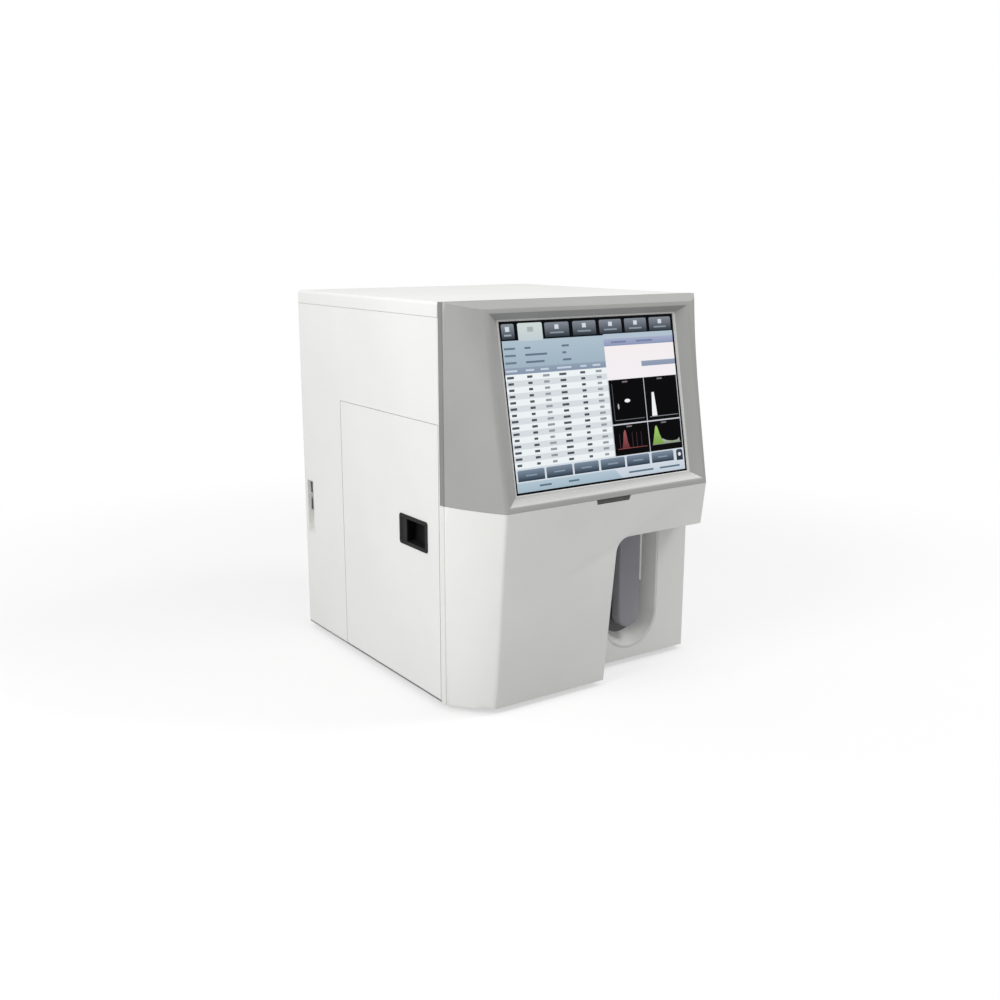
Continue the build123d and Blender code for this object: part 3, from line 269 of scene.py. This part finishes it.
picture = bmesh.new()
lit_colour = picture.loops.layers.float_color.new("lit")


def picture_point(u, v, layer):
    """A place on the screen: u across and v down, both 0 to 1, and how many layers up it lies."""
    across = side_low + glass_margin + u * picture_width
    up = up_high - glass_margin - v * picture_height
    out = face_reach + picture_lift + layer * layer_step
    return Vector((across, 0, 0)) + screen_up * up + screen_normal * out


def lit_shape(points, layer, top, bottom=None):
    """A flat lit shape, anticlockwise from its lower left; the colour may run from top to bottom."""
    corners = [picture.verts.new(picture_point(u, v, layer)) for u, v in points]
    face = picture.faces.new(corners)
    high = min(v for u, v in points)
    low = max(v for u, v in points)
    first, last = linear(top), linear(bottom or top)
    for loop, (u, v) in zip(face.loops, points):
        share = (v - high) / max(low - high, 1e-9)
        loop[lit_colour] = [a + (b - a) * share for a, b in zip(first, last)]


def lit_box(u0, v0, u1, v1, layer, top, bottom=None):
    """A lit rectangle, from its left and top to its right and bottom."""
    lit_shape([(u0, v1), (u1, v1), (u1, v0), (u0, v0)], layer, top, bottom)


def lit_tab(u0, v0, u1, v1, layer, top, bottom, corner=0.006):
    """A button or tab with clipped upper corners."""
    right, left = u1 - corner, u0 + corner
    lit_shape([(u0, v1), (u1, v1), (u1, v0 + corner), (right, v0), (left, v0), (u0, v0 + corner)],
              layer, top, bottom)


# The page: an info panel and a table on the left, a pale field and four plots on the right. Each
# value is a share of the picture, across from its left edge or down from its top edge.
page_left = 0.011
table_right = 0.568
plot_middle = 0.780
page_right = 0.989
strip_top = 0.106
info_top = 0.112
title_top = 0.136
field_top = 0.180
header_top = 0.268
row_top = 0.306
row_bottom = 0.847
row_count = 15
row_pitch = (row_bottom - row_top) / row_count
plots_top = 0.386
plots_bottom = 0.850
status_top = 0.930
page_bottom = 0.986
slant_head = 0.560
slant_foot = 0.600
lit_box(0.0, 0.0, 1.0, 1.0, 0, "#05060A")
lit_box(page_left, info_top, table_right, header_top, 1, "#B0C3CF", "#A2B6C4")
lit_box(table_right, strip_top, page_right, title_top, 1, "#B4C4D2")
lit_box(page_left, header_top, table_right, row_top, 1, "#94A3B5", "#8796AC")
lit_box(table_right, title_top, page_right, field_top, 1, "#A9B2CC", "#8C96B8")
for u0, u1 in ((0.610, 0.700), (0.760, 0.860)):
    lit_box(u0, 0.152, u1, 0.163, 2, "#7681A6")
lit_box(table_right, field_top, page_right, plots_top, 1, "#F7F0F1", "#F5F2F6")
lit_box(plot_middle, 0.284, page_right, 0.316, 2, "#97A3B8", "#8B98AF")
lit_box(page_left, row_top, table_right, row_bottom, 1, "#F0F6F7")
lit_box(page_left, row_bottom, page_right, status_top, 1, "#D5DEE6")
lit_shape([(page_left, page_bottom), (slant_foot, page_bottom), (slant_head, status_top),
           (page_left, status_top)], 1, "#B4C8D4", "#A5BAC8")
lit_shape([(slant_foot, page_bottom), (page_right, page_bottom), (page_right, status_top),
           (slant_head, status_top)], 1, "#D3DBE5", "#C3CFDB")

# Tabs along the top, each with a small picture and a word: home, the open page, and five more.
tab_top = 0.018
tab_bottom = 0.104
icon_top = 0.032
lit_tab(0.014, 0.016, 0.081, tab_bottom, 2, "#8A949C", "#2E363E")
lit_tab(0.099, 0.014, 0.231, 0.118, 2, "#D3DDD8", "#C3CFD6")
for first, last in ((0.244, 0.378), (0.399, 0.531), (0.551, 0.682), (0.700, 0.832), (0.850, 0.984)):
    lit_tab(first, tab_top, last, tab_bottom, 2, "#848B95", "#283039")
    middle = (first + last) / 2
    lit_box(middle - 0.012, icon_top, middle + 0.010, 0.058, 3, "#D5DCE4")
    lit_box(middle - 0.040, 0.074, middle + 0.036, 0.083, 3, "#8E99A4")
lit_box(0.034, icon_top, 0.056, 0.060, 3, "#D5DCE4")
lit_box(0.026, 0.076, 0.064, 0.086, 3, "#9FAAB5")
lit_box(0.150, 0.038, 0.182, 0.066, 3, "#A9B5B2")

# Striped rows of results, with dashes where the words and figures stand.
for row in range(1, row_count, 2):
    stripe_top = row_top + row * row_pitch
    lit_box(page_left, stripe_top, table_right, stripe_top + row_pitch, 2, "#DADFE3")
for u0, u1 in ((0.015, 0.075), (0.12, 0.165), (0.20, 0.245), (0.29, 0.37), (0.42, 0.455), (0.49, 0.535)):
    lit_box(u0, 0.281, u1, 0.292, 3, "#C9D3E0")
word_height = 0.012
for v, value_end, note_end in ((0.152, 0.158, 0.368), (0.192, 0.244, 0.350), (0.234, 0.226, 0.374)):
    lit_box(0.018, v, 0.076, v + word_height, 3, "#6B7C88")
    lit_box(0.126, v, value_end, v + word_height, 3, "#66788A")
    lit_box(0.328, v, note_end, v + word_height, 3, "#66788A")

# Four plots on black, with pale lines between them: two scatter plots, a red and a green curve.
plot_split = 0.656
upper_floor = 0.632
lower_floor = 0.808
left_plot = 0.590
right_plot = 0.800
floor_length = 0.178
line_width = 0.004
lit_box(table_right, plots_top, page_right, plots_bottom, 2, "#020204")
for u in (table_right, plot_middle, page_right - line_width):
    lit_box(u, plots_top, u + line_width, plots_bottom, 4, "#C3C5CB")
lit_box(table_right, plot_split, page_right, plot_split + 2 * line_width, 4, "#C9CCD2")
for left, floor, ink in ((left_plot, upper_floor, "#6D7076"), (right_plot, upper_floor, "#8A8D93"),
                         (left_plot, lower_floor, "#8A4A4A"), (right_plot, lower_floor, "#8A8D93")):
    lit_box(left, floor, left + floor_length, floor + line_width, 3, ink)
lit_box(0.588, 0.410, 0.591, upper_floor, 3, "#5A5D63")
for middle, v in ((0.668, 0.398), (0.880, 0.396), (0.668, 0.672), (0.880, 0.672)):
    lit_box(middle - 0.016, v, middle + 0.016, v + 0.009, 3, "#7D757A")


def lit_spot(u, v, wide, high, layer, colour):
    """A round spot, as a ring of points."""
    point_count = 16
    turns = [math.tau * i / point_count for i in range(point_count)]
    ring = [(u + wide / 2 * math.cos(turn), v - high / 2 * math.sin(turn)) for turn in turns]
    lit_shape(ring, layer, colour)


# Two spots, a white peak, a green curve with its pale tail, and a red curve with its marks.
lit_spot(0.673, 0.519, 0.034, 0.022, 3, "#F4F5F7")
lit_spot(0.617, 0.550, 0.009, 0.036, 3, "#B9BBBF")
lit_shape([(0.815, 0.630), (0.847, 0.630), (0.838, 0.482), (0.824, 0.482)], 3, "#F4F6F8")
lit_shape([(0.802, lower_floor), (0.874, lower_floor), (0.860, 0.780), (0.848, 0.744), (0.838, 0.702),
           (0.831, 0.690), (0.824, 0.702), (0.812, 0.762)], 4, "#A6CF6E", "#7DA44C")
lit_shape([(0.862, lower_floor), (0.972, lower_floor), (0.969, 0.782), (0.956, 0.796), (0.925, 0.798),
           (0.890, 0.792), (0.862, 0.776)], 3, "#B9BDBE", "#8FA07A")
lit_shape([(0.616, lower_floor), (0.662, lower_floor), (0.652, 0.770), (0.644, 0.700), (0.637, 0.696),
           (0.630, 0.716), (0.624, 0.770)], 4, "#A45A5C", "#6E3438")
for u in (0.604, 0.680, 0.706, 0.734):
    lit_box(u, 0.716, u + 0.003, lower_floor, 3, "#4A3036")

# Buttons, the round-cornered one at their right, and the dashes of the status line.
button_top = 0.857
for first, last in ((0.020, 0.164), (0.174, 0.318), (0.328, 0.468), (0.480, 0.622), (0.634, 0.772),
                    (0.786, 0.923)):
    lit_tab(first, button_top, last, 0.922, 3, "#7E8EA0", "#233443")
    middle = (first + last) / 2
    lit_box(middle - 0.030, 0.886, middle + 0.030, 0.894, 4, "#8B9BAA")
lit_tab(0.941, button_top, 0.981, 0.926, 3, "#3E4A57", "#232D38", corner=0.008)
lit_spot(0.961, 0.888, 0.018, 0.024, 4, "#E6ECF1")
for u0, u1 in ((0.130, 0.195), (0.290, 0.350), (0.640, 0.790), (0.830, 0.955)):
    lit_box(u0, 0.952, u1, 0.963, 3, "#5C7584")

picture_mesh = bpy.data.meshes.new("screen_picture")
picture.to_mesh(picture_mesh)
picture.free()
screen_picture = bpy.data.objects.new("screen_picture", picture_mesh)
bpy.context.scene.collection.objects.link(screen_picture)

# A lit liquid-crystal cell under glass: near-black when off, so the picture is nearly all emitted;
# the gloss is the cover glass's, IOR 1.52, with the faint grain of an anti-glare etch.
lit_cells, tree, shader = new_material("lit_liquid_crystal_picture", IOR=1.52, Specular_IOR_Level=0.05,
                                       Emission_Strength=0.92)
lit = add_node(tree, "ShaderNodeAttribute", attribute_name="lit")
place = add_node(tree, "ShaderNodeTexCoord").outputs["Object"]
unlit_share = (0.06, 0.06, 0.065, 1.0)
dim = add_node(tree, "ShaderNodeMix", {"A": lit.outputs["Color"]}, data_type="RGBA",
               blend_type="MULTIPLY")
dim.inputs["Factor"].default_value = 1.0
dim.inputs["B"].default_value = unlit_share
tree.links.new(dim.outputs["Result"], shader.inputs["Base Color"])
tree.links.new(lit.outputs["Color"], shader.inputs["Emission Color"])
grained(tree, place, shader, 0.0012, 0.000002, 0.16, 0.22)
picture_mesh.materials.append(lit_cells)


def dash_rows(name, width, height, pitch, count, ink):
    """A column of short dashes, as a node tree on a line of points; width varies with a fixed seed."""
    tree = bpy.data.node_groups.new(name, "GeometryNodeTree")
    for label, value in (("Dash width", width), ("Dash height", height), ("Row pitch", pitch)):
        socket = tree.interface.new_socket(label, in_out="INPUT", socket_type="NodeSocketFloat")
        socket.default_value = value
    rows = tree.interface.new_socket("Rows", in_out="INPUT", socket_type="NodeSocketInt")
    rows.default_value = count
    tree.interface.new_socket("Geometry", in_out="OUTPUT", socket_type="NodeSocketGeometry")
    given = add_node(tree, "NodeGroupInput")
    step = add_node(tree, "ShaderNodeCombineXYZ")
    down = add_node(tree, "ShaderNodeMath", {0: given.outputs["Row pitch"]}, operation="MULTIPLY")
    down.inputs[1].default_value = -1.0
    tree.links.new(down.outputs[0], step.inputs["Y"])
    line = add_node(tree, "GeometryNodeMeshLine", {"Count": given.outputs["Rows"],
                                                   "Offset": step.outputs[0]})
    dash = add_node(tree, "GeometryNodeMeshGrid", {"Size X": given.outputs["Dash width"],
                                                   "Size Y": given.outputs["Dash height"]})
    dash.inputs["Vertices X"].default_value = 2
    dash.inputs["Vertices Y"].default_value = 2
    shortest = 0.62
    length = add_node(tree, "FunctionNodeRandomValue", data_type="FLOAT_VECTOR")
    length.inputs["Min"].default_value = (shortest, 1.0, 1.0)
    length.inputs["Max"].default_value = (1.0, 1.0, 1.0)
    length.inputs["Seed"].default_value = 7 + count
    spread = add_node(tree, "GeometryNodeInstanceOnPoints", {"Points": line.outputs["Mesh"],
                                                             "Instance": dash.outputs["Mesh"],
                                                             "Scale": length.outputs["Value"]})
    real = add_node(tree, "GeometryNodeRealizeInstances", {"Geometry": spread.outputs["Instances"]})
    inked = add_node(tree, "GeometryNodeSetMaterial", {"Geometry": real.outputs["Geometry"]})
    inked.inputs["Material"].default_value = ink
    add_node(tree, "NodeGroupOutput", {"Geometry": inked.outputs["Geometry"]})
    return tree


def figure_ink(name, dark, light):
    """Lit cells that show ink, from a dark to a lighter shade."""
    material, tree, shader = new_material(name, IOR=1.52, Specular_IOR_Level=0.05, Emission_Strength=0.9)
    place = add_node(tree, "ShaderNodeTexCoord").outputs["Object"]
    tree.links.new(mottled(tree, place, dark, light, 0.002), shader.inputs["Emission Color"])
    shader.inputs["Base Color"].default_value = linear("#101214")
    grained(tree, place, shader, 0.0012, 0.000002, 0.16, 0.22)
    return material


# The same lit cells, showing the dark ink of the table's figures and the paler one of its units.
dark_ink = figure_ink("lit_dark_figures", "#3F4850", "#5B646C")
pale_ink = figure_ink("lit_pale_figures", "#8D969D", "#A4ABB1")

# Each column's name, its middle and its width as shares of the picture, and its ink.
figure_height = 0.014
figure_columns = (("names_left", 0.036, 0.038, dark_ink), ("values_left", 0.138, 0.030, dark_ink),
                  ("units_left", 0.227, 0.038, pale_ink), ("names_right", 0.318, 0.042, dark_ink),
                  ("values_right", 0.430, 0.030, dark_ink), ("units_right", 0.522, 0.036, pale_ink))
figures = []
for label, u, wide, ink in figure_columns:
    rows = dash_rows("figures_" + label, wide * picture_width, figure_height * picture_height,
                     row_pitch * picture_height, row_count, ink)
    blank = bpy.data.objects.new("figures_" + label, bpy.data.meshes.new("figures_" + label))
    bpy.context.scene.collection.objects.link(blank)
    maker = blank.modifiers.new("rows", "NODES")
    maker.node_group = rows
    rows_input = rows.interface.items_tree["Rows"].identifier
    maker[rows_input] = row_count
    graph = bpy.context.evaluated_depsgraph_get()
    column = bpy.data.meshes.new_from_object(blank.evaluated_get(graph), depsgraph=graph)
    turn = Matrix((Vector((1, 0, 0)), screen_up, screen_normal)).transposed().to_4x4()
    column.transform(Matrix.Translation(picture_point(u, row_top + row_pitch * 0.5, 4)) @ turn)
    blank.modifiers.remove(maker)
    figures.append((column, ink))
    bpy.data.objects.remove(blank)

inks = (dark_ink, pale_ink)
joined = bmesh.new()
for column, ink in figures:
    first_new = len(joined.faces)
    joined.from_mesh(column)
    joined.faces.ensure_lookup_table()
    for face in joined.faces[first_new:]:
        face.material_index = inks.index(ink)
figure_mesh = bpy.data.meshes.new("screen_figures")
joined.to_mesh(figure_mesh)
joined.free()
for ink in inks:
    figure_mesh.materials.append(ink)
screen_figures = bpy.data.objects.new("screen_figures", figure_mesh)
bpy.context.scene.collection.objects.link(screen_figures)

for piece in (screen_picture, screen_figures):
    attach(piece, "root")


# Screen lip. A satin light-grey ABS strip, 2.6 mm wide and crowned, that trims the recess along the
# glass. It is moulded as one frame with square corners and pressed in over the glass's edge.

# Each point of the strip's section: how far out from the picture's edge, and how high over the glass.
lip_profile = [(-0.0002, 0.0), (-0.0002, 0.0011), (0.0004, 0.0017), (0.0013, 0.0020), (0.0022, 0.0019),
               (0.0026, 0.0015), (0.0026, 0.0)]
opening_left, opening_right = side_low + glass_margin, side_high - glass_margin
opening_low, opening_high = up_low + glass_margin, up_high - glass_margin
lip_corners = ((opening_left, opening_low, -1, -1), (opening_right, opening_low, 1, -1),
               (opening_right, opening_high, 1, 1), (opening_left, opening_high, -1, 1))
lip = bmesh.new()
rings = []
for x, up, outward_x, outward_up in lip_corners:
    ring = []
    for out, height in lip_profile:
        across = Vector((x + outward_x * out, 0, 0))
        along = screen_up * (up + outward_up * out)
        ring.append(lip.verts.new(across + along + screen_normal * (face_reach + height)))
    rings.append(ring)
for ring, following in zip(rings, rings[1:] + rings[:1]):
    for i in range(len(lip_profile)):
        j = (i + 1) % len(lip_profile)
        lip.faces.new((ring[i], ring[j], following[j], following[i]))
bmesh.ops.recalc_face_normals(lip, faces=lip.faces)
lip_mesh = bpy.data.meshes.new("screen_lip")
lip.to_mesh(lip_mesh)
lip.free()
for polygon in lip_mesh.polygons:
    polygon.use_smooth = True
lip_mesh.set_sharp_from_angle(angle=math.radians(50))
screen_lip = bpy.data.objects.new("screen_lip", lip_mesh)
bpy.context.scene.collection.objects.link(screen_lip)

lip_abs = surface("satin_light_grey_abs", shades=("#CFCFCD", "#D6D6D4"), patch=0.03,
                  grain=0.0008, depth=0.00001, roughness=(0.22, 0.30))
lip_mesh.materials.append(lip_abs)
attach(screen_lip, "root")


# Status light. A smoked polycarbonate lens, moulded and left glossy, that closes the notch under
# the screen. The lamp behind it is off.

lens = surface("smoked_polycarbonate", shades=("#54554F", "#5E5F59"), patch=0.01,
               grain=0.003, depth=0.000004, roughness=(0.16, 0.24), IOR=1.58)
softened("status_indicator", 0.0003, lens)


# Sampling bay. A light grey moulded well, its back wall painted dark as painted shade deep in the
# recess, a dark key that the tube presses, and the steel probe that hangs over it.

# The painted shade covers the well's back wall, which is its largest face that looks forward.
facing_out = [p for p in nodes["sampling_well"].data.polygons if p.normal.y < -0.99]
painted_shade_offset = 0.0005
painted_shade_front = max(facing_out, key=lambda p: p.area).center.y - painted_shade_offset
well_abs, tree, shader = new_material("satin_grey_abs")
place = add_node(tree, "ShaderNodeTexCoord").outputs["Object"]
wall_colour = mottled(tree, place, "#DCDCDA", "#E2E2E0", 0.05)
# Painted shade: the well's back wall is painted dark for the shadow deep in the recess.
back_wall_painted_shade = mottled(tree, place, "#646466", "#6C6C6E", 0.05)
well_colour = split_by_depth(tree, place, wall_colour, back_wall_painted_shade, painted_shade_front)
tree.links.new(well_colour, shader.inputs["Base Color"])
grained(tree, place, shader, 0.0007, 0.00002, 0.34, 0.46)
softened("sampling_well", 0.0012, well_abs)

key_abs = surface("satin_dark_grey_abs", shades=("#94949B", "#9D9DA4"), patch=0.05,
                  grain=0.0007, depth=0.00002, roughness=(0.30, 0.42))
softened("aspirate_key", 0.0005, key_abs)
finish_as(key_abs, "pump_housing")

# Drawn 316 tube, ground and passivated: metallic and bright, roughness 0.20 to 0.30.
probe_steel = surface("ground_stainless_tube", shades=("#E2E3E3", "#ECECEB"), patch=0.01,
                      grain=0.0004, depth=0.000004, roughness=(0.20, 0.30), stretch=(1, 1, 12),
                      Metallic=1.0)
softened("sample_probe", 0.00005, probe_steel, angle=60.0)


# Door pull, catch, switches and motors. Injection-moulded in black ABS with a fine matt grain; the
# pull is a tray that snaps into the door, and the others are screwed or clipped to the sheet.

black_abs = surface("grained_black_abs", shades=("#121213", "#1A1A1B"), patch=0.02,
                    grain=0.0006, depth=0.00003, roughness=(0.40, 0.54))
softened("door_handle", 0.0006, black_abs)
finish_as(black_abs, "door_catch", "key_switch", "lift_motor", "syringe_motor", "power_inlet",
          "fan_frame", "solenoid_valves", "optics_modules")
softened("power_rocker", 0.0004, black_abs)
softened("fan_rotor", 0.0002, black_abs)


# Socket pocket and sockets. The pocket is moulded in the cover's white ABS and clips into the side
# panel. The two stacks of shells are folded from thin stainless strip and left bright; their slots
# read dark because hardly any light reaches into them.

finish_as(white_abs, "interface_pocket")
finish_as(stainless, "usb_sockets")


# Brackets, pulleys, carriages and the optical bench. Aluminium, milled or turned from bar and then
# clear anodised, with fine milling marks.

# Anodised aluminium: metallic, roughness 0.32 to 0.42, with milling marks 0.6 mm apart.
anodised = surface("clear_anodised_aluminium", shades=("#C4C6C8", "#D0D2D3"), patch=0.03,
                   grain=0.0006, depth=0.000008, roughness=(0.32, 0.42), stretch=(1, 6, 6), Metallic=1.0)
finish_as(anodised, "lift_bracket", "probe_carriage", "drive_pulley", "idler_pulley", "syringe_bracket",
          "syringe_carriage", "optical_bench")


# Clear blocks. The wiper, the syringe barrels and head, the baths, the manifold and the waste
# chamber are acrylic, machined, polished and solvent bonded, with a faint blue edge.

acrylic = surface("polished_clear_acrylic", shades=("#D8E6EA", "#E4EEF0"), patch=0.02,
                  grain=0.004, depth=0.000004, roughness=(0.05, 0.12), IOR=1.49, Transmission_Weight=0.9)
finish_as(acrylic, "probe_wiper", "syringe_barrels", "syringe_head", "counting_baths", "valve_manifold",
          "waste_chamber")


# Main board. Glass-fibre laminate under a green solder mask; the etched copper below shows through
# as a soft mottle.

board = surface("solder_masked_laminate", shades=("#0F3D22", "#1B5A34"), patch=0.006,
                grain=0.001, depth=0.00002, roughness=(0.25, 0.4), IOR=1.5)
finish_as(board, "main_board")


# Hose nipples and the pump's rotor. Natural nylon, moulded and left as it comes from the mould:
# warm white and rather dull.

nylon = surface("natural_nylon", shades=("#D8D6CC", "#E3E1D8"), patch=0.01,
                grain=0.0008, depth=0.00002, roughness=(0.38, 0.5))
finish_as(nylon, "reagent_ports", "pump_rotor")


# Floor and backdrop: one pale matt sheet that keeps the object's shadow close by and runs out to
# plain white for the camera.

floor_mesh = bpy.data.meshes.new("floor")
reach = 30.0
floor_corners = [(-reach, -reach, 0), (reach, -reach, 0), (reach, reach, 0), (-reach, reach, 0)]
floor_mesh.from_pydata(floor_corners, [], [(0, 1, 2, 3)])
floor = bpy.data.objects.new("floor", floor_mesh)
bpy.context.scene.collection.objects.link(floor)
paper, tree, shader = new_material("white_paper_floor", Roughness=0.9, Specular_IOR_Level=0.0)
shader.inputs["Base Color"].default_value = linear("#AEAEAE")
ray = add_node(tree, "ShaderNodeLightPath")
place = add_node(tree, "ShaderNodeTexCoord").outputs["Object"]
away = add_node(tree, "ShaderNodeVectorMath", {"Vector": place}, operation="LENGTH")
shadow_reach = 0.45
white_reach = 1.1
fade = add_node(tree, "ShaderNodeMapRange", {"Value": away.outputs["Value"]},
                interpolation_type="SMOOTHSTEP")
fade.inputs["From Min"].default_value = shadow_reach
fade.inputs["From Max"].default_value = white_reach
glow = add_node(tree, "ShaderNodeEmission", Strength=0.55)
near = add_node(tree, "ShaderNodeAddShader")
tree.links.new(shader.outputs[0], near.inputs[0])
tree.links.new(glow.outputs[0], near.inputs[1])
white = add_node(tree, "ShaderNodeEmission", Strength=1.0)
seen = add_node(tree, "ShaderNodeMixShader", {"Fac": fade.outputs["Result"]})
tree.links.new(near.outputs[0], seen.inputs[1])
tree.links.new(white.outputs[0], seen.inputs[2])
pick = add_node(tree, "ShaderNodeMixShader", {"Fac": ray.outputs["Is Camera Ray"]})
tree.links.new(shader.outputs[0], pick.inputs[1])
tree.links.new(seen.outputs[0], pick.inputs[2])
tree.links.new(pick.outputs[0], tree.nodes["Material Output"].inputs["Surface"])
floor_mesh.materials.append(paper)


# Studio light. An even white sky, a broad soft box at the left for the cabinet's side, and a smaller
# one high at the right for the leaning face. The camera sees the sky as plain white.

world = bpy.data.worlds.new("studio")
bpy.context.scene.world = world
world.use_nodes = True
tree = world.node_tree
ray = add_node(tree, "ShaderNodeLightPath")
soft_sky = tree.nodes["Background"]
soft_sky.inputs["Color"].default_value = (1, 1, 1, 1)
soft_sky.inputs["Strength"].default_value = 0.63
white_sky = add_node(tree, "ShaderNodeBackground", Strength=1.0)
white_sky.inputs["Color"].default_value = (1, 1, 1, 1)
pick = add_node(tree, "ShaderNodeMixShader", {"Fac": ray.outputs["Is Camera Ray"]})
tree.links.new(soft_sky.outputs[0], pick.inputs[1])
tree.links.new(white_sky.outputs[0], pick.inputs[2])
tree.links.new(pick.outputs[0], tree.nodes["World Output"].inputs["Surface"])


def soft_lamp(name, place, target, size, power):
    """A square soft box that faces a point."""
    data = bpy.data.lights.new(name, "AREA")
    data.size = size
    data.energy = power
    lamp = bpy.data.objects.new(name, data)
    lamp.location = place
    lamp.rotation_mode = "QUATERNION"
    lamp.rotation_quaternion = (Vector(target) - Vector(place)).to_track_quat("-Z", "Y")
    bpy.context.scene.collection.objects.link(lamp)


part_middle = (0, 0, 0.2)
soft_lamp("left_soft_box", (-1.35, -0.35, 0.95), part_middle, size=0.8, power=11.7)
soft_lamp("right_soft_box", (0.99, -0.70, 1.52), part_middle, size=0.5, power=9.6)


# Camera. It stands about a metre from the front left corner and looks slightly down, at the
# photograph's viewing angle.

camera_data = bpy.data.cameras.new("camera")
camera_data.lens = 41.07
camera_data.sensor_width = 36.0
camera = bpy.data.objects.new("camera", camera_data)
bpy.context.scene.collection.objects.link(camera)
camera.location = (-0.7074, -1.02845, 0.4543)
turn_right = math.radians(34.425)
tilt_down = math.radians(12.927)
ahead = Vector((math.sin(turn_right) * math.cos(tilt_down), math.cos(turn_right) * math.cos(tilt_down),
                -math.sin(tilt_down)))
camera.rotation_mode = "QUATERNION"
camera.rotation_quaternion = ahead.to_track_quat("-Z", "Y")
camera_data.clip_end = 100.0
bpy.context.scene.camera = camera
bpy.context.scene.view_settings.view_transform = "Standard"
